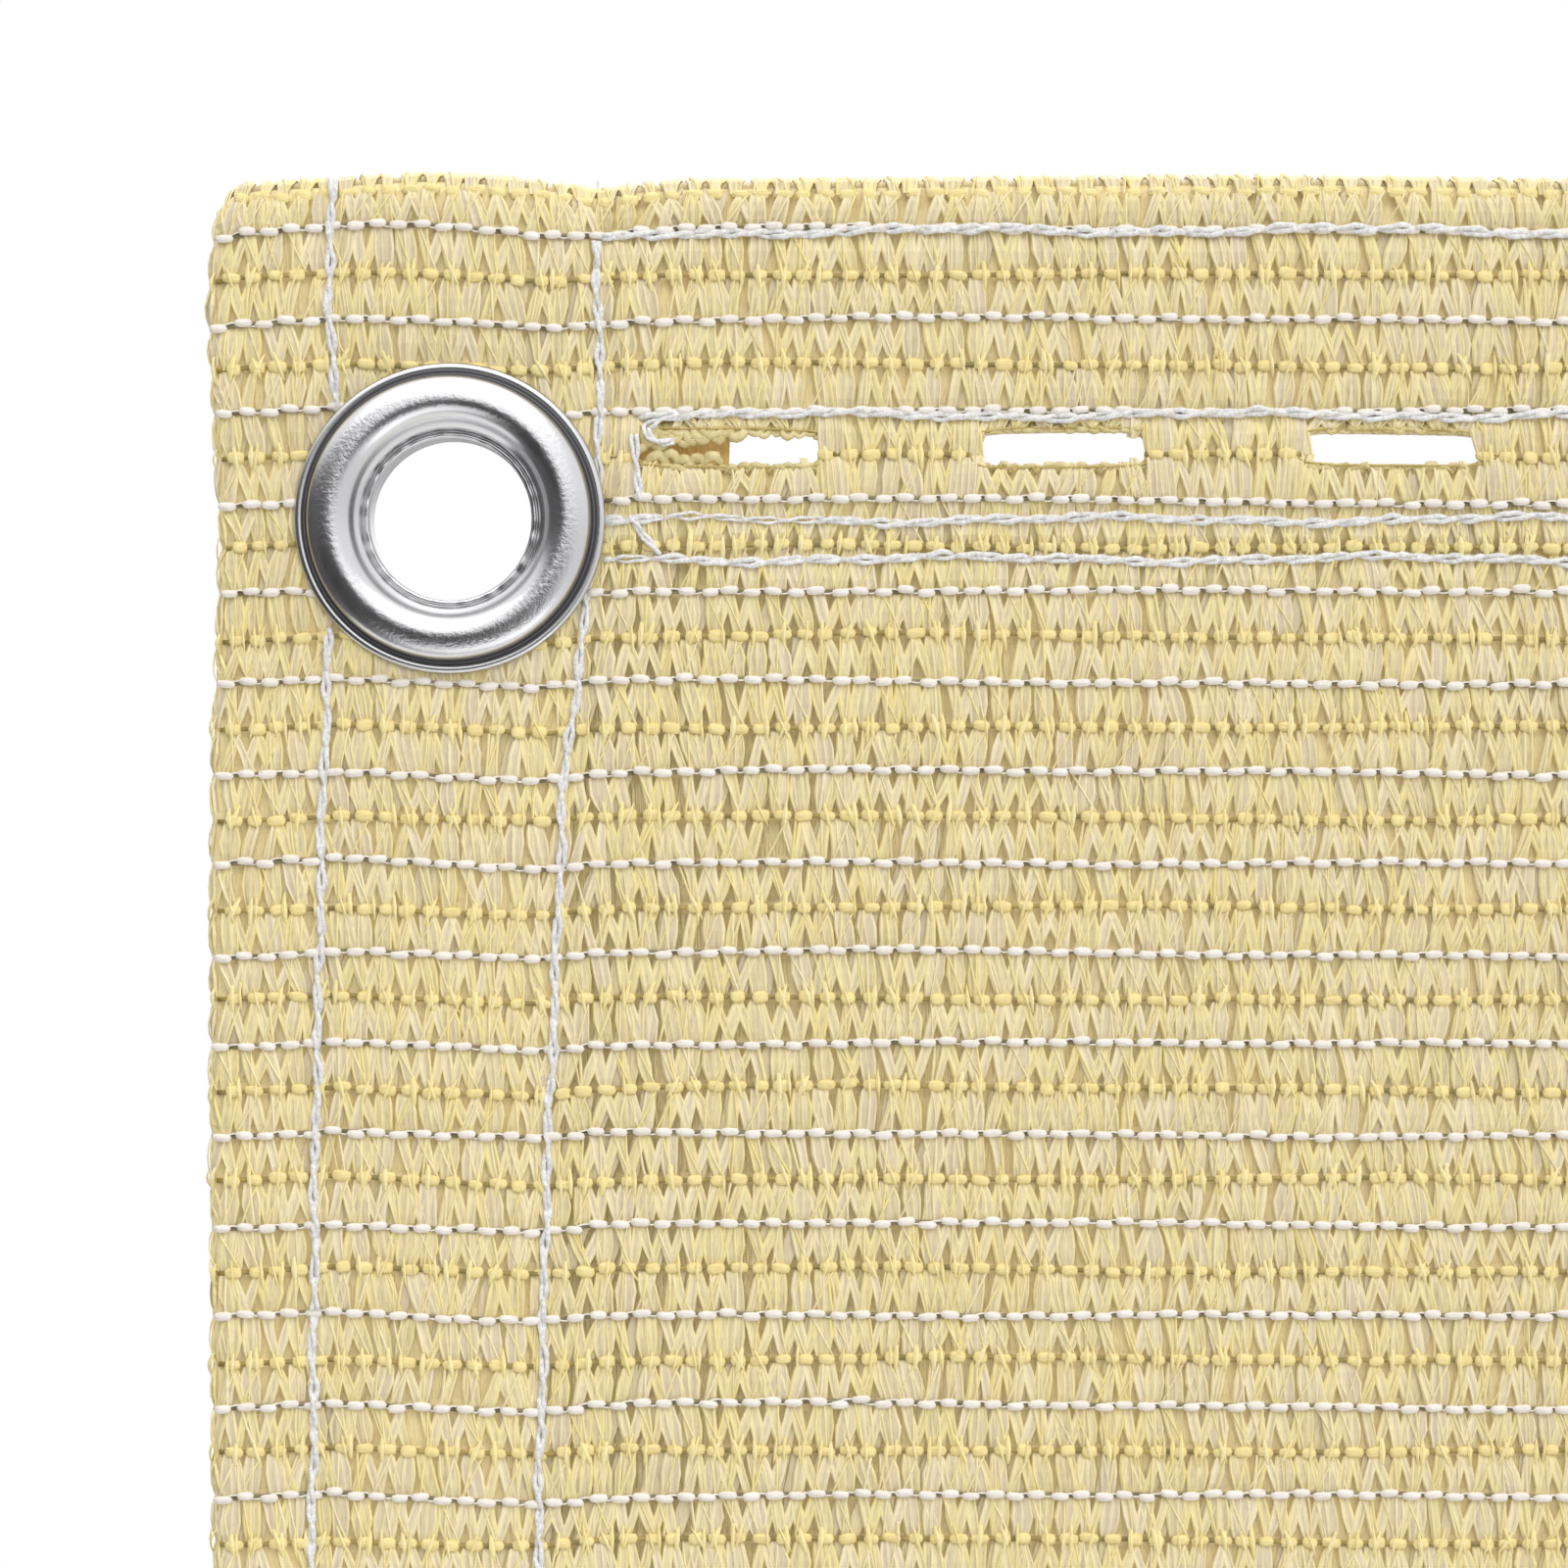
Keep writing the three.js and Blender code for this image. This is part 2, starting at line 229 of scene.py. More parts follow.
def grid_faces(count, rows, columns):
    """Faces of several grids stored one after the other. Rows run down and columns to the right."""
    spot = np.arange(rows * columns).reshape(rows, columns)
    quads = np.stack([spot[:-1, :-1], spot[1:, :-1], spot[1:, 1:], spot[:-1, 1:]], -1).reshape(-1, 4)
    starts = np.arange(count) * rows * columns
    return (quads[None] + starts[:, None, None]).reshape(-1, 4)


def full_turn(steps):
    """Angles all the way round, evenly spaced."""
    return np.linspace(0, 2 * math.pi, steps, endpoint=False)


def turned_over(faces):
    return [face[::-1] for face in faces]


def tube_faces(steps, sides, closed=False):
    """Faces of a tube of rings, one after the other, capped at both ends or closed to a ring.

    They face outward where each ring turns clockwise, seen from the tube's far end.
    """
    ring = np.arange(sides)
    onward = np.roll(ring, -1)
    here = np.arange(steps if closed else steps - 1)[:, None] * sides
    there = (here + sides) % (steps * sides)
    walls = np.stack([ring + here, ring + there, onward + there, onward + here], -1).reshape(-1, 4)
    caps = [] if closed else [ring.tolist(), (ring[::-1] + (steps - 1) * sides).tolist()]
    return walls.tolist() + caps


def add_tube(points, faces, rings, over=False):
    """Adds one capped tube to the lists of a larger mesh. Its faces are turned over where `over` says so."""
    tube = tube_faces(*rings.shape[:2])
    tube = turned_over(tube) if over else tube
    faces += [[f + len(points) for f in face] for face in tube]
    points += rings.reshape(-1, 3).tolist()


def slab(name, front, back, material, smooth=True):
    """A sheet with thickness between two grids of points."""
    rows, columns = front.shape[:2]
    count = rows * columns
    faces = grid_faces(1, rows, columns).tolist()
    faces += [[f + count for f in face[::-1]] for face in faces]
    spot = np.arange(count).reshape(rows, columns)
    rim = np.concatenate([spot[0, ::-1], spot[1:, 0], spot[-1, 1:], spot[-2:0:-1, -1]]).tolist()
    for a, b in zip(rim, rim[1:] + rim[:1]):
        faces.append([b, a, a + count, b + count])
    points = np.concatenate([front.reshape(-1, 3), back.reshape(-1, 3)])
    return make_piece(name, points, faces, material, smooth)


# Finishes


class Maths:
    """A socket that a shader sum can be written with. Each sum adds its own Math node."""

    def __init__(self, tree, socket):
        self.tree = tree
        self.socket = socket

    def sum(self, operation, *values, clamp=False):
        node = self.tree.nodes.new("ShaderNodeMath")
        node.operation = operation
        node.use_clamp = clamp
        for place, value in zip(node.inputs, values):
            connect(self.tree, place, value)
        return Maths(self.tree, node.outputs[0])

    def __add__(self, other):
        return self.sum("ADD", self, other)

    def __sub__(self, other):
        return self.sum("SUBTRACT", self, other)

    def __rsub__(self, other):
        return self.sum("SUBTRACT", other, self)

    def __mul__(self, other):
        return self.sum("MULTIPLY", self, other)

    def __lt__(self, other):
        return self.sum("LESS_THAN", self, other)

    def __gt__(self, other):
        return self.sum("GREATER_THAN", self, other)

    __radd__ = __add__
    __rmul__ = __mul__

    def part(self):
        return self.sum("FRACT", self)

    def size(self):
        return self.sum("ABSOLUTE", self)

    def whole(self):
        return self.sum("FLOOR", self)

    def kept(self):
        return self.sum("ADD", self, 0.0, clamp=True)


def connect(tree, place, value):
    if isinstance(value, Maths):
        value = value.socket
    if isinstance(value, bpy.types.NodeSocket):
        tree.links.new(value, place)
    else:
        place.default_value = value


class Nodes:
    """A node tree in the making."""

    def __init__(self, tree):
        self.tree = tree
        tree.nodes.clear()

    def node(self, kind, settings=None, sockets=None, stops=None, output=0):
        """Adds any node: its settings, a ramp's stops, then the values or links of its sockets."""
        node = self.tree.nodes.new(kind)
        for key, value in (settings or {}).items():
            setattr(node, key, value)
        if stops:
            ramp = node.color_ramp
            for extra in stops[2:]:
                ramp.elements.new(extra[0])
            for element, (position, colour) in zip(ramp.elements, sorted(stops)):
                element.position = position
                element.color = colour
        for key, value in (sockets or {}).items():
            connect(self.tree, node.inputs[key], value)
        return Maths(self.tree, node.outputs[output]) if len(node.outputs) else node

    def parts(self, vector):
        """The x, y and z of a vector."""
        node = self.tree.nodes.new("ShaderNodeSeparateXYZ")
        connect(self.tree, node.inputs[0], vector)
        return [Maths(self.tree, output) for output in node.outputs]

    def point(self, x, y, z):
        return self.node("ShaderNodeCombineXYZ", sockets={0: x, 1: y, 2: z})


class Finish(Nodes):
    """A material in the making."""

    def __init__(self, name):
        self.material = bpy.data.materials.new(name)
        self.material.use_nodes = True
        super().__init__(self.material.node_tree)
        own = self.parts(self.node("ShaderNodeTexCoord", output="Object"))
        self.place = [part * 1000.0 for part in own]

    def grain(self, x, y, z, detail=2.0, roughness=0.5):
        """Noise over the object's own place in millimetres, with each axis times its own number."""
        where = self.point(*(part * scale for part, scale in zip(self.place, (x, y, z))))
        return self.noise(where, detail, roughness)

    def noise(self, where, detail, roughness=0.5):
        return self.node(
            "ShaderNodeTexNoise", {"noise_dimensions": "3D"},
            {"Vector": where, "Scale": 1.0, "Detail": detail, "Roughness": roughness})

    def attribute(self, name):
        return self.node("ShaderNodeAttribute", {"attribute_name": name}, output="Fac")

    def ramp(self, value, *stops):
        return self.node("ShaderNodeValToRGB", sockets={0: value}, stops=stops)

    def blend(self, share, first, second):
        return self.node("ShaderNodeMix", {"data_type": "RGBA"}, {0: share, 6: first, 7: second}, output=2)

    def bump(self, height, distance):
        return self.node("ShaderNodeBump", sockets={"Strength": 1.0, "Distance": distance, "Height": height})

    def surface(self, **sockets):
        sockets = {key.replace("_", " "): value for key, value in sockets.items()}
        shader = self.node("ShaderNodeBsdfPrincipled", sockets=sockets)
        self.node("ShaderNodeOutputMaterial", sockets={0: shader})
        return self.material


FILM = srgb(218, 202, 163)
FILM_SHADE = srgb(192, 176, 136)
FILM_PINK = srgb(214, 198, 174)
FOLDED = srgb(241, 226, 158)
FOLDED_PALE = srgb(243, 230, 194)
GAP = srgb(240, 221, 162)
GAP_LIGHT = srgb(248, 232, 182)
WHITE_YARN = srgb(249, 244, 237)
YELLOW_YARN = srgb(248, 235, 168)
# Painted shade between the stitch dashes of a yellow chain row seen from further off.
YELLOW_ROW_DIP_SHADE = srgb(238, 204, 128)
# Painted shade for the yarn behind the yellow stitches.
YELLOW_ROW_DEEP_SHADE = srgb(138, 124, 70)
# The light that comes through the thin cloth from behind, as a share of each colour.
THROUGH = 0.11


def film_finish():
    """Flat tape: thin milky film, greyer between its folds. The folded edges and raised ridges are bright
    and yellow, partly their own colour and partly a painted highlight.
    """
    look = Finish("pleated_tape")
    fold = look.attribute("fold")
    hue = look.attribute("hue")
    streaks = look.grain(4.5, 1.5, 0.45, 3.0, 0.6)
    film = look.ramp(streaks, (0.30, FILM_SHADE), (0.68, srgb(236, 221, 176)), (0.48, FILM))
    pink = look.blend((hue * 1.5 - 0.55).kept() * 0.75, film, FILM_PINK)
    folded = look.blend(hue, FOLDED, FOLDED_PALE)
    colour = look.blend((fold * 1.1 + (streaks - 0.5) * 0.4).kept(), pink, folded)
    fine = look.grain(12.0, 4.0, 1.2)
    return look.surface(
        Base_Color=colour, Roughness=0.5, Normal=look.bump(fine, 0.00006), Specular_IOR_Level=0.3,
        Emission_Color=colour, Emission_Strength=THROUGH * 0.4)


def yarn_finish(name, colour, shade):
    """The chain stitches: smooth plastic yarn, darker in soft random patches."""
    look = Finish(name)
    soft = look.grain(0.9, 1.0, 0.9)
    fine = look.grain(2.0, 6.0, 9.0)
    tint = look.blend(((soft - 0.38) * 2.2).kept(), shade, colour)
    return look.surface(
        Base_Color=tint, Roughness=0.4, Normal=look.bump(fine, 0.00008), Specular_IOR_Level=0.4)


def thread_finish():
    """The sewing thread: white, of fine filaments, with painted shade in the hollows between them."""
    look = Finish("sewing_thread")
    fine = look.grain(3.2, 3.2, 3.2, 4.0, 0.7)
    tint = look.blend(((fine - 0.3) * 3.2).kept(), srgb(206, 204, 200), srgb(252, 251, 250))
    return look.surface(
        Base_Color=tint, Roughness=0.6, Normal=look.bump(fine, 0.00012), Specular_IOR_Level=0.25)


def ground_finish():
    """The cloth behind the stitches that are made in the round, and the whole knit further off."""
    look = Finish("knitted_ground")
    x, y, z = look.place
    wander = look.grain(0.08, 0.08, 0.3, 1.0)
    row = (z * -1.0 - FIRST_ROW) * (1 / ROW_PITCH) + (wander - 0.5) * 0.12
    nearest = (row + 0.5).whole()
    off_row = (row - nearest).size()
    is_yellow = (nearest * 0.5).part() > 0.25
    stitch = x * (1 / STITCH_PITCH) + is_yellow * 0.45 + (wander - 0.5) * 2.0
    off_stitch = (stitch.part() - 0.5).size()
    on_stitch = (off_row < 0.13) * (off_stitch < 0.41)

    streaks = look.grain(4.2, 0.5, 0.55, 3.0, 0.6)
    tape = look.ramp(streaks, (0.30, FILM_SHADE), (0.70, FOLDED), (0.46, FILM_PINK), (0.56, FILM))
    patch = look.noise(look.point(stitch.whole() * 3.7, 0.0, row.whole() * 5.3), 0.0)
    # Holes between the stitches are painted darker than the tape: painted shade on the tapes seen through
    # them.
    holes = (0.5 - off_stitch < (patch - 0.38) * 0.55) * (off_row > 0.16)
    knit = look.blend(holes, tape, srgb(184, 166, 118))
    yarn = look.blend(is_yellow, WHITE_YARN, YELLOW_YARN)
    knit = look.blend(on_stitch, knit, yarn)

    near_corner = (x < (LEFT + CLOSE_ALONG - 1.0)) * (z > -(CLOSE_DOWN - 1.0))
    behind = look.blend(streaks, GAP, GAP_LIGHT)
    flap = look.blend(((streaks - 0.35) * 3.0).kept(), srgb(228, 192, 116), srgb(246, 218, 150))
    at_slot = (y > 1.95) * (y < 2.6) * (x > LEFT + 30.4) * (z > -24.0)
    behind = look.blend(at_slot, behind, flap)
    seen_in_front = (y < 0.1) + at_slot
    colour = look.blend(near_corner * seen_in_front, knit, behind)
    height = on_stitch * 0.6 + streaks * (1.0 - on_stitch) * 0.8 - holes * 0.4
    return look.surface(
        Base_Color=colour, Roughness=0.55, Normal=look.bump(height, 0.0004),
        Specular_IOR_Level=0.3, Emission_Color=colour, Emission_Strength=THROUGH)


def cord_finish():
    """A chain row seen from further off: white and yellow rows in turn, a dash for each stitch."""
    look = Finish("chain_row_yarn")
    yellow = look.attribute("yellow")
    stitch = look.place[0] * (1 / STITCH_PITCH) + yellow * 0.45
    from_middle = (stitch.part() - 0.5).size()
    yarn = look.blend(yellow, WHITE_YARN, YELLOW_YARN)
    # Between the dashes the yarn is painted darker: painted shade where it dips between stitches.
    shade = look.blend(yellow, srgb(150, 146, 120), YELLOW_ROW_DIP_SHADE)
    return look.surface(
        Base_Color=look.blend(from_middle > 0.42, yarn, shade), Roughness=0.45,
        Normal=look.bump(1.0 - from_middle * 2.0, 0.0003), Specular_IOR_Level=0.35)


def metal_finish():
    """Pressed and polished metal, drawn round the ring in fine lines."""
    look = Finish("polished_eyelet_metal")
    grain = look.grain(3.2, 3.2, 3.2, 3.0, 0.6)
    soft = look.grain(0.6, 0.6, 0.6)
    groove = look.attribute("groove")
    worn = look.attribute("worn")
    # The base colour turns dark where the ring is marked: painted shade between the dome and its rim and at
    # the lip inside.
    return look.surface(
        Base_Color=look.blend(groove * 0.9, srgb(208, 208, 210), srgb(78, 78, 81)), Metallic=1.0,
        Roughness=0.19 + soft * 0.1 + groove * 0.25, Normal=look.bump(grain * (worn + 0.1), 0.00003))


TAPE = film_finish()
WHITE_CHAIN = yarn_finish("white_chain_yarn", WHITE_YARN, srgb(238, 230, 220))
YELLOW_CHAIN = yarn_finish("yellow_chain_yarn", YELLOW_YARN, srgb(240, 219, 150))
LIP_YARN = yarn_finish("slot_lip_yarn", srgb(226, 206, 140), srgb(184, 160, 84))
LOOP_TAPE = yarn_finish("loose_loop_tape", srgb(240, 226, 176), srgb(208, 190, 130))
# The yarn behind the stitches gets darker colours than the stitches: painted shade under them.
YELLOW_ROW_YARN_SHADED = yarn_finish("ochre_chain_yarn", srgb(206, 176, 98), YELLOW_ROW_DEEP_SHADE)
WHITE_ROW_YARN_SHADED = yarn_finish("grey_chain_yarn", srgb(170, 160, 122), srgb(116, 107, 76))
THREAD = thread_finish()
GROUND = ground_finish()
CHAIN_ROW = cord_finish()
METAL = metal_finish()


# The sheets of cloth


def stations(step):
    """Distances down a side, close together where its shape changes."""
    marks = list(SIDE["down"]) + [HEIGHT - d for d in SIDE["down"]]
    marks += np.arange(0, HEIGHT, step).tolist()
    marks = sorted(set(round(m, 2) for m in marks))
    return np.array([m for m, following in zip(marks, marks[1:] + [1e9]) if following - m > 0.3])


FIELD_COLUMNS = np.linspace(-1, 1, 49)
# The waves are deepest along the bottom edge, so the chain rows there bend at more places.
BOTTOM_COLUMNS = np.linspace(-1, 1, 97)


def field_half(down):
    """Half the length of the single layer."""
    return WIDTH / 2 - side("inner", down) - BEYOND_SEAM


def field_sheet():
    """The single layer between the turned-back edges, on the soft folds in which it hangs."""
    downs = np.concatenate([[BAND_DEPTH], np.arange(34, HEIGHT - 30, 10), [HEIGHT - BAND_DEPTH]])
    x = field_half(downs)[:, None] * FIELD_COLUMNS[None]
    down = np.broadcast_to(downs[:, None], x.shape)
    face = front_of(x, down)
    front, back = (np.stack([x, face + inward, -down], -1) for inward in (SHEET_IN, FIELD_REAR_IN))
    return slab("field_cloth", front, back, GROUND)


# The slots near the corner: how far each reaches to the left and right of its middle.
CLOSE_SLOTS = ((6.9, 7.1), (6.35, 6.75), (6.75, 7.2))


def slot_reach(number):
    if number < len(CLOSE_SLOTS):
        return CLOSE_SLOTS[number]
    half = (SLOT_LENGTH + 0.45 * math.sin(number * 2.3)) / 2
    return half, half


def slot_outline(count, number):
    """A lacing slot's outline about its middle, a long opening with drawn-in ends, a little uneven."""
    across, up = np.cos(full_turn(count)), np.sin(full_turn(count))
    left, right = slot_reach(number)
    height = (SLOT_HEIGHT + 0.15 * math.sin(number * 1.7 + 0.6)) / 2
    x = np.where(across > 0, right, left) * np.sign(across) * np.abs(across) ** 0.3
    z = height * np.sign(up) * np.abs(up) ** 0.5
    return x, z + 0.08 * np.sin(x * 0.9 + number * 3.1)


SLOT_SIDES = 24
RING_SHARES = (1.0, 0.5, 0.12, 0.0)


def square_turn():
    """Places round the outline of a square of unit half size."""
    cos, sin = np.cos(full_turn(SLOT_SIDES)), np.sin(full_turn(SLOT_SIDES))
    reach = 1 / np.maximum(np.abs(cos), np.abs(sin))
    return cos * reach, sin * reach


def slot_cell(number):
    """Rings of places round a slot, from the outline of its stretch of the band in to the slot."""
    pitch = (WIDTH - 2 * FIRST_SLOT_IN) / (SLOTS - 1)
    middle = FIRST_SLOT_IN + number * pitch
    edge_in = side("inner", 0.0) + BEYOND_SEAM
    low = edge_in if number == 0 else middle - pitch / 2
    high = WIDTH - edge_in if number == SLOTS - 1 else middle + pitch / 2
    square_x, square_z = square_turn()
    wall_along = middle + square_x * np.where(square_x > 0, high - middle, middle - low)
    top = 0.5 - outline(np.minimum(wall_along, WIDTH - wall_along))
    wall_down = SLOT_DOWN - square_z * np.where(square_z > 0, SLOT_DOWN - top, BAND_DEPTH - SLOT_DOWN)
    hole_x, hole_z = slot_outline(SLOT_SIDES, number)
    share = np.array(RING_SHARES)[:, None]
    x = LEFT + (middle + hole_x) * (1 - share) + wall_along * share
    return x, (SLOT_DOWN - hole_z) * (1 - share) + wall_down * share


def cell_faces(number):
    """Faces between a slot's rings in both layers, and the walls round the slot and at the band's edges."""
    layer = SLOT_SIDES * len(RING_SHARES)
    square_x = square_turn()[0]
    upright = np.abs(np.abs(square_x) - 1) < 1e-6
    faces, outer, inner = [], [], []
    for a in range(layer):
        i = a % SLOT_SIDES
        b = a + 1 if i + 1 < SLOT_SIDES else a + 1 - SLOT_SIDES
        wall = [a, b, b + layer, a + layer]
        if a < layer - SLOT_SIDES:
            quad = [a, b, b + SLOT_SIDES, a + SLOT_SIDES]
            faces += [quad, [q + layer for q in quad[::-1]]]
        else:
            inner.append(wall)
        has_neighbour = number < SLOTS - 1 if square_x[i] > 0 else number > 0
        if a < SLOT_SIDES and not (upright[a] and upright[b] and has_neighbour):
            outer.append(wall[::-1])
    return faces + outer + inner


def band_sheet(name, at_top):
    """A turned-back long edge: two layers with the lacing slots through both."""
    points, faces = [], []
    for number in range(SLOTS):
        faces += [[len(points) + f for f in face] for face in cell_faces(number)]
        x, down = slot_cell(number)
        true_down = down if at_top else HEIGHT - down
        swing = drape(x, true_down)
        over_edge = down + outline(np.minimum(x - LEFT, WIDTH + LEFT - x))
        thinner = 0.5 * lump(np.maximum(over_edge, 0), 0.7)
        for depth in (FRONT + SHEET_IN + thinner, DOUBLE_BACK - SHEET_IN - thinner):
            points += np.stack([x, swing + depth, -true_down], -1).reshape(-1, 3).tolist()
    piece = make_piece(name, points, faces if at_top else turned_over(faces), GROUND, True)
    weld = piece.modifiers.new("weld", "WELD")
    weld.merge_threshold = 0.02 * MM
    return baked(piece)


def hem_section(down):
    """A side's section at one place: the front from the edge in, then the back from the raw edge out."""
    seam, inner, raw = (float(side(key, down)) for key in ("seam", "inner", "raw"))
    edge = -float(side("out", down))
    end = inner + BEYOND_SEAM
    across = [edge - 0.1, edge + 0.4]
    across += np.linspace(edge + 2, seam - 2, 4).tolist()
    across += [seam - 1, seam, seam + 1]
    across += np.linspace(seam + 2.5, inner - 2.5, 8).tolist()
    across += [inner - 1, inner, end]
    near = min(down, HEIGHT - down)
    at_corner = near < CORNER_REACH
    back = CORNER_BACK if at_corner else DOUBLE_BACK
    raw_front = RAW_FRONT if at_corner else SINGLE_BACK + 0.35
    raw_back = RAW_BACK if at_corner else DOUBLE_BACK
    x = LEFT + np.array(across)
    front = front_of(x, np.full_like(x, down)) + SHEET_IN
    front[0] += 0.5
    halfway = (end + raw) / 2
    profile = [(a, y) for a, y in zip(across, front)]
    profile += [(end, raw_front), (halfway, raw_front), (raw, raw_front), (raw, raw_back)]
    shoulder, trough = back - 0.1, back - TROUGH_DEEP
    profile += [(halfway, raw_back), (inner + TROUGH_HALF, raw_back), (inner, trough)]
    profile += [(inner - TROUGH_HALF, shoulder), ((inner + seam) / 2, back), (seam + TROUGH_HALF, shoulder)]
    profile += [(seam, trough), (seam - TROUGH_HALF, shoulder), (edge + 2, shoulder)]
    profile += [(edge + 0.6, trough), (edge - 0.25, SINGLE_BACK)]
    return np.array(profile)


def round_punch(x, down, steps=48):
    """A solid round bar through the cloth, to cut the hole that an eyelet sits in."""
    across = x + CLOTH_HOLE * np.sin(full_turn(steps))
    height = CLOTH_HOLE * np.cos(full_turn(steps)) - down
    points = [np.stack([across, np.full(steps, depth), height], -1) for depth in (-6.0, 8.0)]
    faces = [list(range(steps))[::-1], list(range(steps, 2 * steps))]
    faces += [[i, (i + 1) % steps, steps + (i + 1) % steps, steps + i] for i in range(steps)]
    return make_piece("punch", np.concatenate(points), faces, METAL)


def hem_sheet(name, mirrored):
    downs = stations(8.0)
    sections = []
    for down in downs:
        section = hem_section(down)
        height = np.full(len(section), -down)
        if down < 0.01 or down > HEIGHT - 0.01:
            height += (outline(section[:, 0]) - 0.5) * (1 if down < 1 else -1)
        sections.append(np.stack([LEFT + section[:, 0], section[:, 1], height], -1))
    points = np.array(sections)
    if mirrored:
        points[..., 0] *= -1
    faces = tube_faces(*points.shape[:2])
    faces = turned_over(faces) if mirrored else faces
    piece = make_piece(name, points.reshape(-1, 3), faces, GROUND, True)
    for down in (EYELET_DOWN, HEIGHT - EYELET_DOWN):
        x = (LEFT + EYELET_IN) * (-1 if mirrored else 1)
        punch = round_punch(x, down)
        cut = piece.modifiers.new("eyelet_hole", "BOOLEAN")
        cut.operation = "DIFFERENCE"
        cut.solver = "EXACT"
        cut.object = punch
        baked(piece)
        bpy.data.objects.remove(punch)
    return piece


def ring_piece(name, profile, x, down, material, steps=96, crimp=None):
    """A ring turned about an axis that points to the back, from a closed profile of radius and depth."""
    turn = full_turn(steps)[:, None]
    radius, depth = (np.tile(values, (steps, 1)) for values in np.array(profile).T)
    if crimp:
        crimp(turn, radius, depth)
    points = np.stack([x + radius * np.sin(turn), depth, -down + radius * np.cos(turn)], -1)
    area = sum(a[0] * b[1] - b[0] * a[1] for a, b in zip(profile, profile[1:] + profile[:1]))
    faces = tube_faces(steps, len(profile), closed=True)
    faces = faces if area > 0 else turned_over(faces)
    # Painted shade between the dome and its rim, and in two fine lines at the lip inside, where the metal
    # would show dark reflections. Worn on the crest.
    groove = np.clip(1.3 - np.abs(radius - DOME_RADIUS) / 0.28, 0, 1) * (depth < -1.0)
    groove += 0.5 * lump(radius - 6.74, 0.05) * (np.abs(depth + 0.5) < 0.3)
    groove += 0.35 * lump(radius - 6.2, 0.04) * (np.abs(depth + 0.3) < 0.25)
    worn = np.exp(-((radius - 9.3) ** 4)) * (depth < -2.0)
    return make_piece(name, points.reshape(-1, 3), faces, material, True, groove=groove, worn=worn)


# The knit near the corner, stitch by stitch


rng = np.random.default_rng(41)
QUARTER = FOLD_RADIUS * math.pi / 2
UNROLLED = QUARTER - FOLD_RADIUS
PRESSED = 0.3
RIM_REACH = 11.4


def round_fold(flat, proud):
    """Bends a flat distance over a folded edge: returns the distance in from the edge and the depth."""
    turn = np.clip((QUARTER - flat) / FOLD_RADIUS, 0, math.pi)
    radius = FOLD_RADIUS + proud
    inward = np.where(flat >= QUARTER, flat - QUARTER + FOLD_RADIUS, FOLD_RADIUS - radius * np.sin(turn))
    past = np.maximum(QUARTER - math.pi * FOLD_RADIUS - flat, 0)
    return inward + past, radius * (1 - np.cos(turn))


def lay(along, down, proud):
    """Places points of the knit on the cloth, and over its folded left and top edges.

    `proud` is how far they stand off the cloth. Near the eyelet's rim they are pressed flatter.
    """
    from_eyelet = np.hypot(along - EYELET_IN, down - EYELET_DOWN)
    proud = proud * (PRESSED + (1 - PRESSED) * eased((from_eyelet - RIM_REACH) / 2.4))
    inward, side_depth = round_fold(along + UNROLLED, proud)
    drop, top_depth = round_fold(down + UNROLLED, proud)
    inward = inward - side("out", np.maximum(drop, 0)) * np.exp(-np.maximum(inward, 0) / 7)
    drop = drop - outline(np.maximum(inward, 0)) * np.exp(-np.maximum(drop, 0) / 7)
    x = LEFT + inward
    thick = 2 * FOLD_RADIUS + 2 * proud
    depth = np.minimum(side_depth + top_depth, thick)
    return np.stack([x, front_of(x, drop) - proud + depth, -drop], -1)


def lift(along, row):
    """How far a row of stitches rides up where the seams pull it."""
    slow = 0.12 * np.sin(along / 17 + row * 1.9) + 0.07 * np.sin(along / 6.3 + row * 2.7)
    return np.interp(along, LIFT_ALONG, LIFT_UP) + slow


COLUMNS = int(CLOSE_ALONG / STITCH_PITCH)
column = np.arange(-1, COLUMNS)
row = np.arange(-2, CLOSE_ROWS)
ROWS, COLS = np.meshgrid(row, column, indexing="ij")
stitch_along = (COLS + 0.5 + 0.42 * (ROWS % 2)) * STITCH_PITCH + rng.normal(0, 0.07, ROWS.shape)
stitch_down = FIRST_ROW + ROWS * ROW_PITCH - lift(stitch_along, ROWS) * np.clip(ROWS + 1, 0, 1)
stitch_down = stitch_down + rng.normal(0, 0.05, ROWS.shape) + 0.75 * (ROWS < 0)
stitch_down = stitch_down + 0.07 * np.where(COLS % 2 == 0, 1, -1) * (ROWS % 2 == 0)


def slot_half_height(along):
    """Half the height of the lacing slot at a place along the top, or zero between the slots."""
    number = np.clip(np.round((along - FIRST_SLOT_IN) / SLOT_PITCH), 0, len(NEAR_SLOTS)).astype(int)
    offset = along - FIRST_SLOT_IN - number * SLOT_PITCH
    reaches = np.array([slot_reach(n) for n in range(len(NEAR_SLOTS) + 1)])
    left, right = np.moveaxis(reaches[number], -1, 0)
    share = np.clip(np.abs(offset) / (np.where(offset > 0, right, left) - 0.35), 0, 1)
    return SLOT_HEIGHT / 2 * (1 - share ** 5) ** 0.4 * (share < 1)


def clear_of_eyelet(along, down, reach):
    return np.hypot(along - EYELET_IN, down - EYELET_DOWN) > reach


def in_slot(rows, along):
    return (rows == SLOT_ROW) & (slot_half_height(along) > 0)


def slot_middle(number):
    return FIRST_SLOT_IN + number * SLOT_PITCH


def runs_of(shown, least):
    """The unbroken runs of places, at least so many together, where `shown` is true."""
    breaks = np.where(np.diff(shown.astype(int)))[0] + 1
    runs = np.split(np.arange(len(shown)), breaks)
    return [run for run in runs if len(run) >= least and shown[run[0]]]
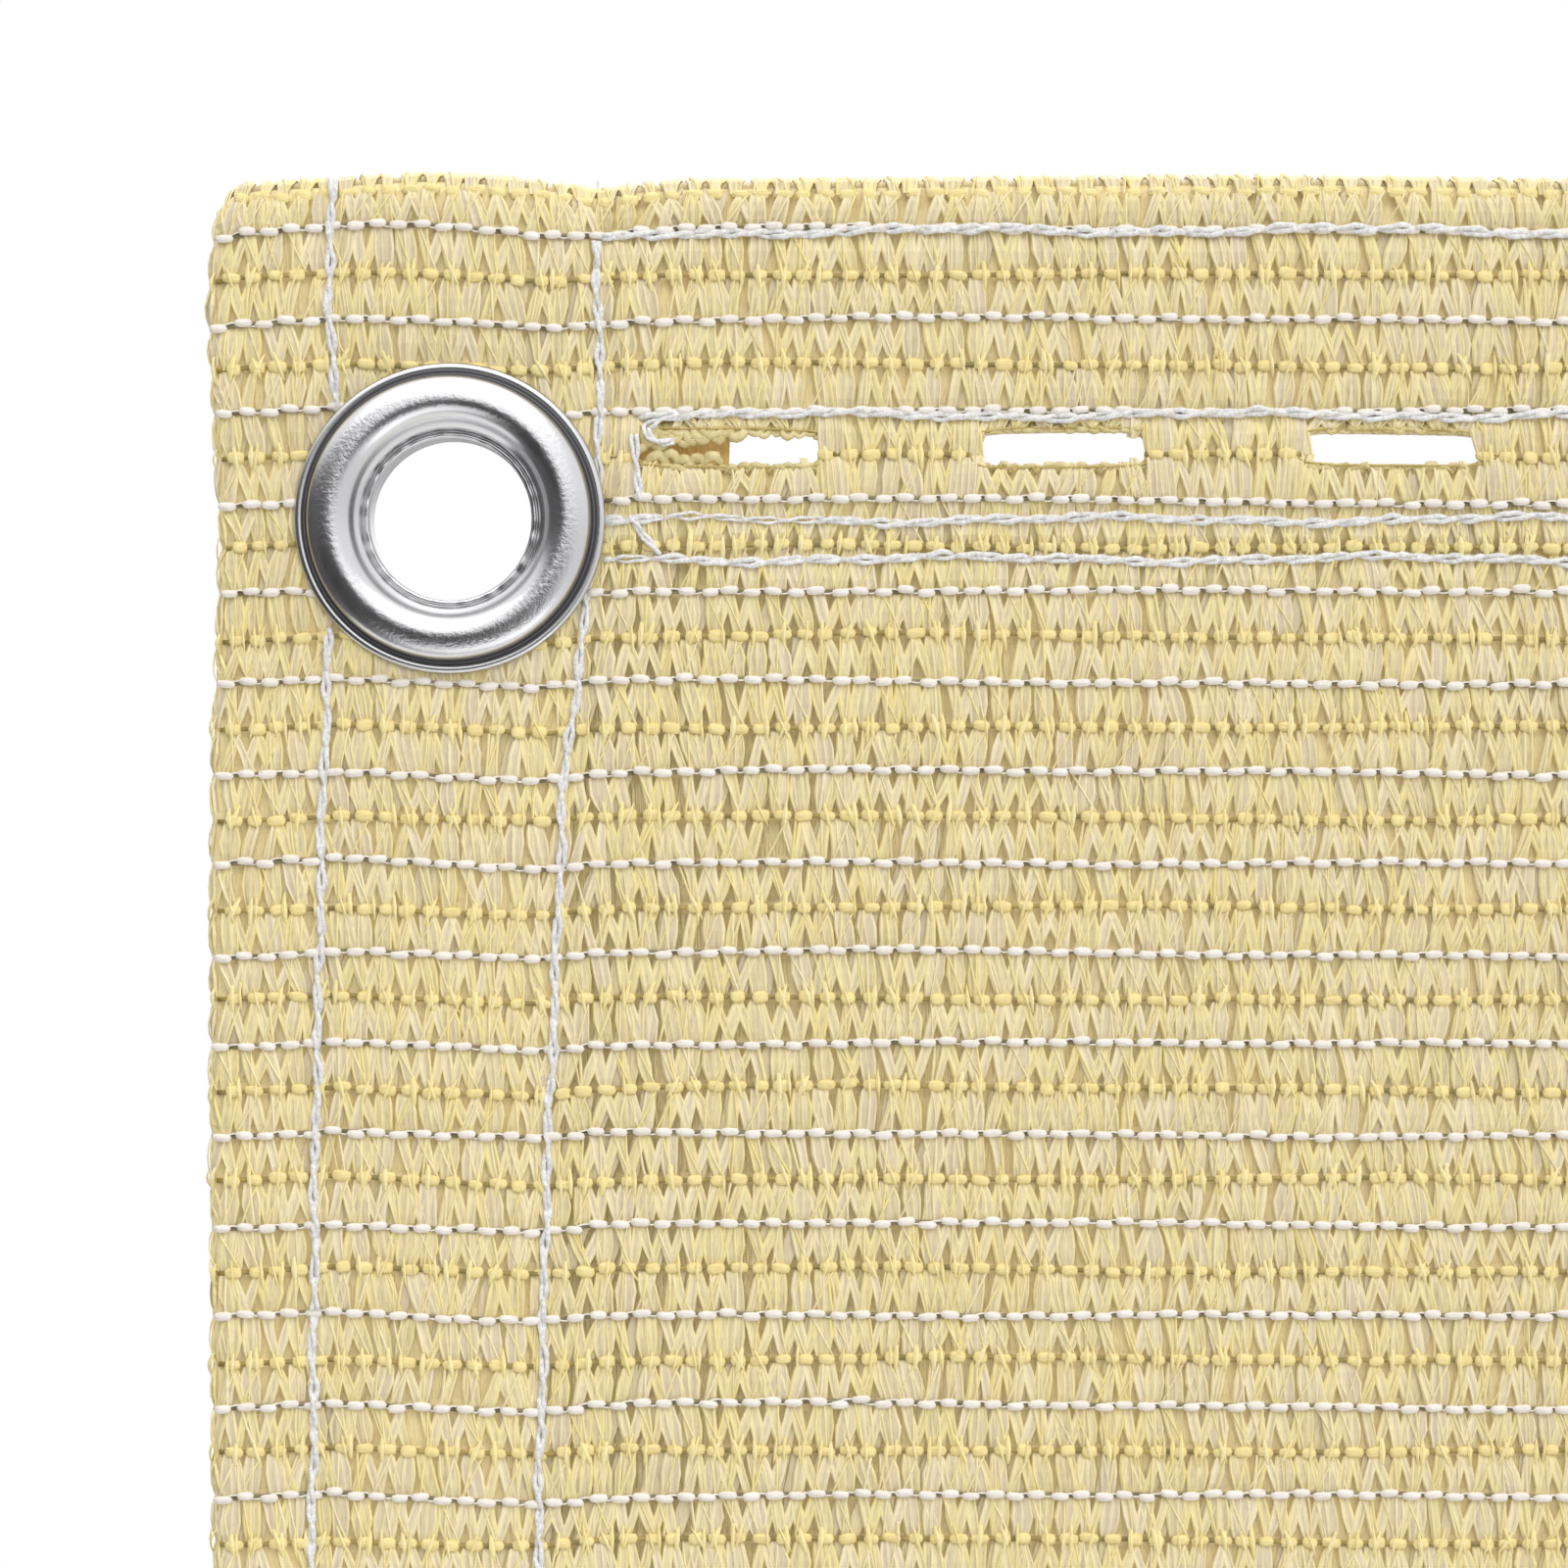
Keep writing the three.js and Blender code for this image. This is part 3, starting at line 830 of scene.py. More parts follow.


# `bright` makes a pleat's ridges and folded edges lighter and yellower: partly the folded film's own colour,
# partly a painted highlight.
Pleats = namedtuple("Pleats", "across out bright jitter")
BUNDLE = Pleats(
    across=(-1.0, -0.84, -0.66, -0.32, -0.02, 0.14, 0.58, 0.80, 1.0),
    out=(-0.08, 0.10, 0.0, 0.03, 0.11, 0.0, 0.02, 0.11, -0.08),
    bright=(0.7, 1.0, 0.1, 0.0, 0.7, 0.05, 0.1, 1.0, 0.75),
    jitter=(0, 0.03, 0.05, 0.1, 0.2, 0.2, 0.05, 0.03, 0),
)
REAR = Pleats(
    across=(-1.0, -0.4, 0.3, 1.0),
    out=(0, 0.05, 0, 0.04),
    bright=(0.1, 0.0, 0.2, 0.0),
    jitter=(0,) * 4,
)
BRANCH = Pleats(
    across=(-1.0, -0.72, 0.1, 0.72, 1.0),
    out=(-0.06, 0.09, 0.0, 0.09, -0.06),
    bright=(0.75, 1.0, 0.1, 1.0, 0.75),
    jitter=(0, 0.12, 0.4, 0.12, 0),
)
STRAND = Pleats(across=(-1.0, 0.0, 1.0), out=(-0.05, 0.06, -0.05), bright=(1.0,) * 3, jitter=(0,) * 3)


def strips(name, pleats, top, bottom, ends, middle, steps, proud, belly, bow, hue):
    """Strips of tape, one for each entry, each from a stitch above to a stitch below.

    `top` and `bottom` are pairs of along and down. `ends` and `middle` are half widths, `proud` is how
    far out the ends lie, `belly` how much further the middle does, and `bow` the bend to the side. One
    number stands for all strips.
    """
    count = len(top[0])

    def for_each(values):
        """One value for each strip, set against its steps and its pleats."""
        return np.broadcast_to(values, count)[:, None, None]

    def from_to(first, last):
        return for_each(first) * (1 - share) + for_each(last) * share

    share = np.linspace(0, 1, steps)[None, :, None]
    swell = np.sin(share * math.pi) ** 0.7
    wide = (1 - np.abs(2 * share - 1)) ** rng.uniform(0.5, 1.4, (count, 1, 1))
    across, out, bright, jitter = (np.array(values)[None, None, :] for values in pleats)
    across = across + jitter * rng.uniform(-1, 1, (count, 1, across.shape[2]))
    flip = for_each(np.where(rng.random(count) < 0.5, -1.0, 1.0))
    half = from_to(*ends) * (1 - wide) + for_each(middle) * wide
    centre = from_to(top[0], bottom[0]) + for_each(bow) * np.sin(share * math.pi)
    along = centre + half * across * flip
    down = np.broadcast_to(from_to(top[1], bottom[1]), along.shape)
    proud = for_each(proud) + belly * swell + out * (0.6 + 0.4 * swell)
    points = lay(along, down, proud)
    # How bright and yellow each point is painted: partly the folded film's own colour, partly a painted
    # highlight.
    fold = np.clip(bright + 0.45 * (1 - swell) * rng.uniform(0, 1, (count, 1, 1)), 0, 1)
    hue = np.broadcast_to(for_each(hue), along.shape)
    faces = grid_faces(count, steps, across.shape[2]).reshape(count, -1, 4)
    turned = flip[:, 0, 0] < 0
    faces[turned] = faces[turned][..., ::-1]
    faces = faces.reshape(-1, 4).tolist()
    return make_piece(name, points.reshape(-1, 3), faces, TAPE, False, fold=fold, hue=hue)


def slot_ends():
    """The gathered tapes that close each lacing slot at its left and right."""
    places = []
    for number in NEAR_SLOTS:
        left, right = slot_reach(number)
        for beyond, lean in ((0.5, 0.12), (1.3, 0.2)):
            places.append((slot_middle(number) - left - beyond, lean))
            places.append((slot_middle(number) + right + beyond, -lean))
    place, lean = np.array([p for p in places if p[0] < CLOSE_ALONG - 1]).T
    count = len(place)
    top = np.concatenate([place + lean, place])
    bottom = np.concatenate([place, place - lean * 2])
    start = np.repeat([17.7, 20.95], count)
    end = np.repeat([21.1, 24.5], count)
    half = 0.62
    return strips(
        "slot_end_tape", BUNDLE, (top, start), (bottom, end), (half, half * 0.85), half * 1.05, 6,
        0.22, 0.28, 0, rng.uniform(0, 1, 2 * count))


def tapes(name, pleats, start, finish, at_white, at_yellow, middle, steps, proud, belly, share):
    """Tapes from the stitches of each row to those of the row below.

    `start` and `finish` say how far along each one begins and ends. Widths are given as the least and
    the most, in half stitches. `share` is how many of the places have a tape.
    """
    rows = ROWS[:-1].ravel()
    start, finish = start.ravel(), finish.ravel()
    top_down, bottom_down = stitch_down[:-1].ravel().copy(), stitch_down[1:].ravel().copy()
    centre = (start + finish) / 2
    gap = slot_half_height(centre)
    above = (rows == SLOT_ROW - 1) & (gap > 0)
    below = (rows == SLOT_ROW) & (gap > 0)
    bottom_down[above] = SLOT_DOWN - gap[above] - 0.05
    top_down[below] = SLOT_DOWN + gap[below] + 0.05
    keep = clear_of_eyelet(centre, (top_down + bottom_down) / 2, 10.2)
    keep &= COLS[:-1].ravel() < COLUMNS - 1
    keep &= rng.random(len(keep)) < share.ravel()
    rows = rows[keep]
    count = len(rows)
    size = STITCH_PITCH / 2
    white, yellow, middle = (size * rng.uniform(*widths, count) for widths in (at_white, at_yellow, middle))
    ends = (np.where(rows % 2 == 0, white, yellow), np.where(rows % 2 == 0, yellow, white))
    return strips(
        name, pleats, (start[keep], top_down[keep]), (finish[keep], bottom_down[keep]), ends, middle,
        steps, proud, belly, rng.normal(0, 0.05, count), rng.uniform(0, 1, count))


def tape_layers():
    """The tapes between one row of stitches and the next.

    From each yellow stitch one tape leans to the white stitch on its left and one to that on its right.
    In many places they lie side by side, as one straight bundle.
    """
    grid = ROWS[:-1].shape
    white_first = ROWS[:-1] % 2 == 0
    onward = np.roll(stitch_along, -1, axis=1)
    top, bottom = stitch_along[:-1], stitch_along[1:]
    top_right = np.where(white_first, onward[:-1], top)
    bottom_right = np.where(white_first, bottom, onward[1:])
    knot = np.where(white_first, bottom, top)
    lean = rng.normal(0, 0.2, grid)
    middle = (top + bottom) / 2
    straight = rng.random(grid) < 0.5
    top_drift, bottom_drift = rng.normal(0, 0.14, (2,) + grid)
    pieces = [
        tapes("straight_tape", BUNDLE, middle - lean, (middle + knot) / 2 + lean, (0.62, 0.9), (0.46, 0.7),
              (0.78, 1.08), 5, 0.12, 0.26, straight * 1.0),
        tapes("left_tape", BRANCH, top + top_drift, bottom + bottom_drift, (0.44, 0.68), (0.28, 0.46),
              (0.44, 0.66), 5, 0.1, 0.24, np.where(straight, 0.3, 0.97)),
        tapes("right_tape", BRANCH, top_right + bottom_drift, bottom_right + top_drift, (0.38, 0.62),
              (0.26, 0.44), (0.38, 0.6), 5, 0.11, 0.24, np.where(straight, 0.45, 0.9)),
        tapes("rear_tape", REAR, top_right + lean, bottom + lean, (0.5, 0.8), (0.5, 0.8), (0.5, 0.8),
              3, 0.02, 0.03, np.full(grid, 0.5)),
    ]
    for number, sideways in enumerate((-1, 1), 1):
        start = top + sideways * rng.uniform(0.2, 0.6, grid)
        finish = bottom - sideways * rng.uniform(-0.4, 0.75, grid)
        pieces.append(tapes(
            f"tape_edge_{number}", STRAND, start, finish, (0.07, 0.14), (0.07, 0.14), (0.07, 0.14),
            5, 0.22, 0.3, np.full(grid, 0.55)))
    return pieces + [slot_ends(), knot_tapes()]


def knot_tapes():
    """The tapes drawn together at each yellow stitch, which run on over it."""
    chosen = (ROWS % 2 == 1) & (ROWS > 0) & clear_of_eyelet(stitch_along, stitch_down, 12.2)
    chosen &= ~in_slot(ROWS, stitch_along)
    along, down = stitch_along[chosen], stitch_down[chosen]
    tops, bottoms = [], []
    for sideways in (-1, 1):
        here = rng.random(len(along)) < 0.62
        count = here.sum()
        spread = rng.uniform(0.12, 0.55, count) * sideways
        slip = rng.uniform(-0.3, 0.3, count)
        tops.append((along[here] + spread, down[here] - rng.uniform(0.9, 1.6, count)))
        crossed = np.where(rng.random(count) < 0.5, -1, 1) * spread
        bottoms.append((along[here] + crossed + slip, down[here] + rng.uniform(0.9, 1.6, count)))
    top = np.concatenate(tops, axis=1)
    bottom = np.concatenate(bottoms, axis=1)
    count = top.shape[1]
    wide = rng.uniform(0.1, 0.24, count)
    return strips(
        "tape_over_stitches", STRAND, top, bottom, (wide * 0.3, wide * 0.3), wide, 7,
        0.08, 0.56, rng.normal(0, 0.03, count), rng.uniform(0, 0.4, count))


# Stitches: Geometry Nodes put one shape on many points


def pillow(name, around=7, steps=6, power=3.2, waist=0.0):
    """One stitch, a blunt pillow of unit half length along X, flattened towards the cloth."""
    reach = np.sin(np.linspace(-1, 1, steps) * math.pi / 2)
    size = (1 - np.abs(reach) ** power) ** (1 / power)
    size = np.maximum(size, 0.16) * (1 - waist * (1 - np.abs(reach)))
    waves = np.cos(full_turn(around)), np.sin(full_turn(around))
    round_y, round_z = (np.sign(wave) * np.abs(wave) ** 0.8 for wave in waves)
    points = np.stack([
        np.broadcast_to(reach[:, None], (steps, around)),
        size[:, None] * round_y[None],
        size[:, None] * round_z[None]], -1)
    mesh = bpy.data.meshes.new(name)
    mesh.from_pydata(points.reshape(-1, 3).tolist(), [], turned_over(tube_faces(steps, around)))
    mesh.polygons.foreach_set("use_smooth", [True] * len(mesh.polygons))
    return add_object(name, mesh)


class Shape(Nodes):
    """A Geometry Nodes tree in the making, with named inputs for its sizes."""

    def __init__(self, name, inputs):
        super().__init__(bpy.data.node_groups.new(name, "GeometryNodeTree"))
        face = self.tree.interface
        face.new_socket("Geometry", in_out="INPUT", socket_type="NodeSocketGeometry")
        face.new_socket("Geometry", in_out="OUTPUT", socket_type="NodeSocketGeometry")
        self.identifiers = {}
        for key, kind in inputs.items():
            self.identifiers[key] = face.new_socket(key, in_out="INPUT", socket_type=kind).identifier
        self.entry = self.tree.nodes.new("NodeGroupInput")

    def given(self, key):
        return Maths(self.tree, self.entry.outputs[key])

    def uneven(self, low, high):
        """A vector drawn for each stitch between two others."""
        return self.node(
            "FunctionNodeRandomValue", {"data_type": "FLOAT_VECTOR"},
            {0: low, 1: high, "Seed": self.given("Seed")})

    def product(self, first, second):
        return self.node("ShaderNodeVectorMath", {"operation": "MULTIPLY"}, {0: first, 1: second})

    def end_with_stitches(self, points, turn, size):
        """Puts a real stitch in its yarn on each of the points."""
        stitch = self.node(
            "GeometryNodeObjectInfo", sockets={"Object": self.given("Stitch")}, output="Geometry")
        placed = self.node(
            "GeometryNodeInstanceOnPoints",
            sockets={"Points": points, "Instance": stitch, "Rotation": turn, "Scale": size})
        real = self.node("GeometryNodeRealizeInstances", sockets={"Geometry": placed})
        dressed = self.node(
            "GeometryNodeSetMaterial", sockets={"Geometry": real, "Material": self.given("Yarn")})
        self.node("NodeGroupOutput", sockets={0: dressed})


def stitch_tree():
    """Puts a stitch on every point, each turned and sized a little differently."""
    shape = Shape("stitches_on_points", {
        "Stitch": "NodeSocketObject",
        "Half size": "NodeSocketVector",
        "Unevenness": "NodeSocketFloat",
        "Tilt": "NodeSocketFloat",
        "Seed": "NodeSocketInt",
        "Yarn": "NodeSocketMaterial",
    })
    low, high = 1.0 - shape.given("Unevenness"), 1.0 + shape.given("Unevenness")
    vary = shape.uneven(shape.point(low, low, low), shape.point(high, high, high))
    tilt = shape.given("Tilt")
    back = tilt * -1.0
    turn = shape.uneven(shape.point(back, back, back), shape.point(tilt, tilt, tilt))
    shape.end_with_stitches(shape.given("Geometry"), turn, shape.product(vary, shape.given("Half size")))
    return shape


def sewing_tree():
    """Lays stitches end to end along a path."""
    shape = Shape("stitches_on_path", {
        "Stitch": "NodeSocketObject",
        "Stitch length": "NodeSocketFloat",
        "Half width": "NodeSocketFloat",
        "Half depth": "NodeSocketFloat",
        "Unevenness": "NodeSocketFloat",
        "Seed": "NodeSocketInt",
        "Yarn": "NodeSocketMaterial",
    })
    path = shape.node("GeometryNodeMeshToCurve", sockets={"Mesh": shape.given("Geometry")})
    length = shape.given("Stitch length")
    spaced = shape.node("GeometryNodeResampleCurve", {"mode": "LENGTH"}, {"Curve": path, "Length": length})
    turn = shape.node(
        "FunctionNodeAlignRotationToVector", {"axis": "X", "pivot_axis": "Y"},
        {"Vector": shape.node("GeometryNodeInputTangent")})
    size = shape.point(length * 0.56, shape.given("Half depth"), shape.given("Half width"))
    low, high = 1.0 - shape.given("Unevenness"), 1.0 + shape.given("Unevenness")
    vary = shape.uneven(shape.point(1.0, low, low), shape.point(1.0, high, high))
    shape.end_with_stitches(spaced, turn, shape.product(size, vary))
    return shape


def grown(name, points, edges, shape, **inputs):
    """A piece that a tree grows from points or paths, as a plain mesh."""
    mesh = bpy.data.meshes.new(name)
    mesh.from_pydata((np.asarray(points) * MM).tolist(), edges, [])
    piece = add_object(name, mesh)
    modifier = piece.modifiers.new(name, "NODES")
    modifier.node_group = shape.tree
    for key, value in inputs.items():
        modifier[shape.identifiers[key.replace("_", " ")]] = value
    return baked(piece)


def chain_points(is_yellow):
    """Where the stitches of the white or of the yellow rows lie."""
    chosen = (ROWS >= -1) & ((ROWS % 2 == 1) == is_yellow)
    along, down, rows = stitch_along[chosen], stitch_down[chosen], ROWS[chosen]
    keep = clear_of_eyelet(along, down, 11.3) & (along > 0.5)
    keep &= ~in_slot(rows, along)
    along, down, rows = along[keep], down[keep], rows[keep]
    return lay(along, down, np.where(rows < 0, 0.04, 0.32 if is_yellow else 0.44))


def tubes(name, lines, radii, material, sides=5, flat=1.0, smooth=True):
    """Round cords along paths of millimetre points, each with one radius or one for every point."""
    points, faces = [], []
    for line, radius in zip(lines, radii):
        line = np.asarray(line, dtype=float)
        tangent = np.gradient(line, axis=0)
        tangent /= np.linalg.norm(tangent, axis=1)[:, None] + 1e-9
        across = np.cross(tangent, (0, 1, 0))
        across /= np.linalg.norm(across, axis=1)[:, None] + 1e-9
        outward = np.cross(across, tangent)
        turn = full_turn(sides)[None, :, None]
        radius = np.broadcast_to(radius, len(line))[:, None, None]
        ring = across[:, None] * np.cos(turn) + outward[:, None] * np.sin(turn) * flat
        add_tube(points, faces, line[:, None] + ring * radius)
    return make_piece(name, points, faces, material, smooth)


def top_roll():
    """The folded top edge behind the stitches."""
    along = np.arange(-0.3, CLOSE_ALONG, 0.7)
    return tubes("top_fold_roll", [lay(along, -0.5, -0.3)], [0.42], TAPE, 8)


def slot_lips():
    """The yarn that binds the edges of the lacing slots."""
    lines, radii = [], []
    for number in NEAR_SLOTS:
        across, up = slot_outline(48, number)
        for proud, grow in ((0.05, 1.02), (0.3, 1.06)):
            along = slot_middle(number) + across * (grow + 0.01)
            down = SLOT_DOWN - up * (grow + 0.04)
            inside = along < CLOSE_ALONG
            if inside.sum() < 6:
                continue
            path = lay(along, down, proud + rng.normal(0, 0.03, along.shape))
            path = path[inside] if not inside.all() else np.concatenate([path, path[:2]])
            lines.append(path)
            radii.append(np.abs(0.075 + rng.normal(0, 0.015, len(path))))
    return tubes("slot_lips", lines, radii, LIP_YARN)


def slot_loops():
    """The loops of tape round the lacing slots. The first slot's hang far down at its left."""
    loops = []
    for number in range(12):
        depth = rng.uniform(1.9, 2.7) * (1 - 0.4 * number / 11)
        wide, thick = rng.uniform(1.2, 1.8), rng.uniform(0.3, 0.44)
        loops.append((32.0 + number * 0.66, 18.1, wide, depth, thick))
    for number in range(5):
        loops.append((33.2 + number * 1.1, 21.9, rng.uniform(1.0, 1.5), -rng.uniform(0.5, 1.1), 0.34))
    top, low = SLOT_DOWN - SLOT_HEIGHT / 2 - 0.7, SLOT_DOWN + SLOT_HEIGHT / 2 + 0.75
    for number in NEAR_SLOTS:
        left, right = slot_reach(number)
        middle = slot_middle(number)
        droop = 0.35 if number == 0 else 0.0
        for along in np.arange(middle - left, min(middle + right, CLOSE_ALONG - 1.5), 0.84):
            thick = rng.uniform(0.13, 0.24, 2)
            loops.append((along, top, rng.uniform(0.9, 1.4), rng.uniform(0.55, 0.85) + droop, thick[0]))
            loops.append((along, low, rng.uniform(0.9, 1.4), -rng.uniform(0.55, 0.85), thick[1]))
    lines, radii = [], []
    turn = np.linspace(0, math.pi, 9)
    for along, down, wide, deep, thick in loops:
        path_along = along + wide * (1 - np.cos(turn)) / 2 + rng.normal(0, 0.05, 9)
        path_down = down + deep * np.sin(turn) ** 0.8 + rng.normal(0, 0.05, 9)
        lines.append(lay(path_along, path_down, 0.34 * np.sin(turn) * rng.uniform(0.3, 1) + 0.02))
        radii.append(thick * (0.75 + 0.4 * np.sin(turn)))
    return tubes("slot_loops", lines, radii, LOOP_TAPE, 6, 0.5)


def chain_cords():
    """The yarn that runs on behind the stitches of each row near the corner, coloured darker than the
    stitches as painted shade.
    """
    along = np.arange(0.4, CLOSE_ALONG, 1.2)
    turn = np.arange(4) * math.pi / 2 + math.pi / 4
    ring = np.stack([np.zeros(4), 0.14 * np.cos(turn), 0.25 * np.sin(turn)], -1)
    made = []
    for first, name, material in ((0, "white_row_yarn", WHITE_ROW_YARN_SHADED), (1, "yellow_row_yarn", YELLOW_ROW_YARN_SHADED)):
        points, faces = [], []
        for line in range(first, CLOSE_ROWS, 2):
            down = FIRST_ROW + line * ROW_PITCH - lift(along, line)
            for run in runs_of(clear_of_eyelet(along, down, 7.6) & ~in_slot(line, along), 3):
                middle = lay(along[run], down[run], 0.24)
                add_tube(points, faces, middle[:, None] + ring[None], over=True)
        made.append(make_piece(name, points, faces, material, True))
    return made


def row_tails():
    """The fine yarn that winds from one white stitch to the next, past the holes between them."""
    lines = []
    for line in range(0, CLOSE_ROWS, 2):
        along = np.arange(0.4, CLOSE_ALONG, STITCH_PITCH / 4)
        middle = FIRST_ROW + line * ROW_PITCH - lift(along, line)
        down = middle + 0.17 * np.cos(along / STITCH_PITCH * math.pi) + 0.05 * np.sin(along * 1.9 + line)
        for run in runs_of(clear_of_eyelet(along, down, EYELET_CLEAR), 4):
            lines.append(lay(along[run], down[run], 0.4))
    return tubes("white_row_tails", lines, [0.09] * len(lines), WHITE_CHAIN, 3)


# Sewing


def paths(lines):
    """Points and edges of several open paths."""
    points, edges = [], []
    for line in lines:
        start = len(points)
        points += np.asarray(line).tolist()
        edges += [(start + i, start + i + 1) for i in range(len(line) - 1)]
    return points, edges


def plied(runs, thick=0.22):
    """Two-ply thread along runs of along and down. It dips into the cloth at the end of each stitch."""
    lines, radii = [], []
    for number, (along, down, share) in enumerate(runs):
        step = np.hypot(np.diff(along), np.diff(down))
        distance = np.concatenate([[0], np.cumsum(step)])
        even = np.arange(0, distance[-1], 0.25)
        share = np.interp(even, distance, np.broadcast_to(share, distance.shape))
        along, down = np.interp(even, distance, along), np.interp(even, distance, down)
        heading = np.arctan2(np.gradient(down), np.gradient(along))
        phase = (even / 2.9 + number * 0.37) % 1
        out = 0.62 - 0.26 * np.exp(-((phase - 0.5) / 0.1) ** 2)
        twist = even * 1.05 + number * 1.7
        for ply in (-1, 1):
            apart = 0.19 + 0.05 * np.sin(even * 1.3 + number)
            spread = ply * apart * np.cos(twist) + 0.04 * np.sin(even * 4.1 + ply)
            aside, below = along - np.sin(heading) * spread, down + np.cos(heading) * spread
            lines.append(lay(aside, below, out + 0.1 * ply * np.sin(twist)))
            radii.append(thick * share * (1 + 0.12 * np.sin(even * 2.3 + ply)))
    return lines, radii


def close_seams():
    """The seams near the corner: two down the side and four along the top, with their loose ends."""
    runs = []
    for key, phase, first in (("seam", 0.0, 0.2), ("inner", 1.7, 4.2)):
        down = np.arange(first, CLOSE_DOWN, 0.5)
        clear = [down[down < EYELET_DOWN - 8], down[down > EYELET_DOWN + 8]] if key == "seam" else [down]
        for run in clear:
            sway = 0.1 * np.sin(run / 2.1 + phase) + 0.07 * np.sin(run / 0.9 + phase)
            runs.append((side(key, run) + sway, run, 1.0))
    for number, (seam_down, first) in enumerate(zip(BAND_SEAMS, (29.8, 32.6, 29.6, 29.8))):
        along = np.arange(first, CLOSE_ALONG, 0.5)
        sway = 0.2 * np.sin(along / 5.1 + number * 2) + 0.1 * np.sin(along / 1.7 + number)
        share = np.ones_like(along)
        if number == 2:
            share = np.interp(along, (33.2, 34.0, 46.0, 47.5), (1.1, 0.6, 0.6, 1.0))
        if number == 3:
            share = np.interp(along, (33.5, 34.5), (0.6, 1.0))
        runs.append((along, seam_down + sway * eased((along - first) / 6), share))
    ends = (
        ((32.2, 32.35, 32.7), (19.4, 22.0, 24.6)),
        ((31.9, 32.7, 34.3), (25.6, 26.9, 28.7)),
        ((36.4, 34.2, 33.1, 33.3, 34.4, 35.2), (17.9, 18.2, 18.8, 19.6, 20.1, 19.9)),
    )
    for along, down in ends:
        place = np.linspace(0, 1, len(along))
        fine = np.linspace(0, 1, 24)
        runs.append((np.interp(fine, place, along), np.interp(fine, place, down), 0.85))
    lines, radii = plied(runs)
    return tubes("seam_threads_near_corner", lines, radii, THREAD, 5)


def far_seams(on_front):
    """The same seams over the rest of the screen, and on its back."""
    lines = []

    def follow(x, down, rear):
        depth = front_of(x, down) - THREAD_PROUD if on_front else rear
        lines.append(np.stack([x, depth, -down], -1))

    end = HEIGHT - 2
    low_eyelet = HEIGHT - EYELET_DOWN
    for mirrored in (False, True):
        begin = 2.0 if mirrored or not on_front else CLOSE_DOWN + 1
        past_eyelets = [
            (max(begin, EYELET_DOWN + EYELET_CLEAR), low_eyelet - EYELET_CLEAR),
            (low_eyelet + EYELET_CLEAR, end),
            (begin, EYELET_DOWN - EYELET_CLEAR),
        ]
        for key, runs in (("seam", past_eyelets), ("inner", [(begin, end)])):
            for low, high in runs:
                if low > high:
                    continue
                down = np.linspace(low, high, max(int((high - low) / 6), 2))
                near = np.minimum(down, HEIGHT - down)
                rear = np.where(near < CORNER_REACH, CORNER_BACK, DOUBLE_BACK) + 0.15
                follow((-1 if mirrored else 1) * (LEFT + side(key, down)), down, rear)
    margin = HEM_END if on_front else side("raw", 0.0) + 1
    for at_top in (True, False):
        for seam_down in BAND_SEAMS:
            first = CLOSE_ALONG if on_front and at_top else margin
            x = LEFT + np.linspace(first, WIDTH - margin, 240)
            down = np.full_like(x, seam_down if at_top else HEIGHT - seam_down)
            thick = DOUBLE_BACK if seam_down < BAND_DEPTH else SINGLE_BACK
            follow(x, down, drape(x, down) + thick + 0.2)
    return lines


# Rows of chain over the whole cloth


def row_cords(name, on_front):
    """Every chain row as one slim cord, for the cloth beyond the stitches made in the round."""
    points, faces, yellow = [], [], []
    outward = -1 if on_front else 1
    ring = np.array([(0, outward * CORD_PROUD, 0), (0, 0, CORD_HALF), (0, 0, -CORD_HALF)])
    ring = ring if on_front else ring[[0, 2, 1]]
    rows = int((HEIGHT - 2 - FIRST_ROW) / ROW_PITCH)
    for line in range(rows + 1):
        down = FIRST_ROW + line * ROW_PITCH
        near = min(down, HEIGHT - down)
        if abs(near - SLOT_DOWN) < SLOT_CLEAR:
            continue
        first = CLOSE_ALONG - 1 if on_front and down < CLOSE_DOWN + 1 else 0.8
        last = WIDTH - 0.8
        if abs(near - EYELET_DOWN) < EYELET_CLEAR:
            first = max(first, HEM_END)
            last = WIDTH - HEM_END
        raw = float(side("raw", down))
        folds = np.array([2.0, 8.0, 18.0, 29.5, HEM_END, raw - 0.3, raw + 0.3])
        shares = BOTTOM_COLUMNS if down > HEIGHT - BAND_DEPTH else FIELD_COLUMNS
        columns = WIDTH / 2 + float(field_half(down)) * shares
        along = np.unique(np.clip(np.concatenate([columns, folds, WIDTH - folds]), first, last))
        x = LEFT + along
        downs = np.full_like(x, down)
        inside = np.minimum(along, WIDTH - along)
        doubled = (near < BAND_DEPTH) | (inside < raw)
        rear = drape(x, downs) + np.where(doubled, DOUBLE_BACK, SINGLE_BACK)
        if near < CORNER_REACH:
            rear = np.where(inside < raw, np.where(inside < 30, CORNER_BACK, RAW_BACK), rear)
        depth = front_of(x, downs) + SHEET_IN if on_front else rear - 0.1
        middle = np.stack([x, depth, -downs], -1)
        add_tube(points, faces, middle[:, None] + ring[None])
        yellow += [line % 2] * 3 * len(x)
    return make_piece(name, points, faces, CHAIN_ROW, False, yellow=yellow)


# Eyelets


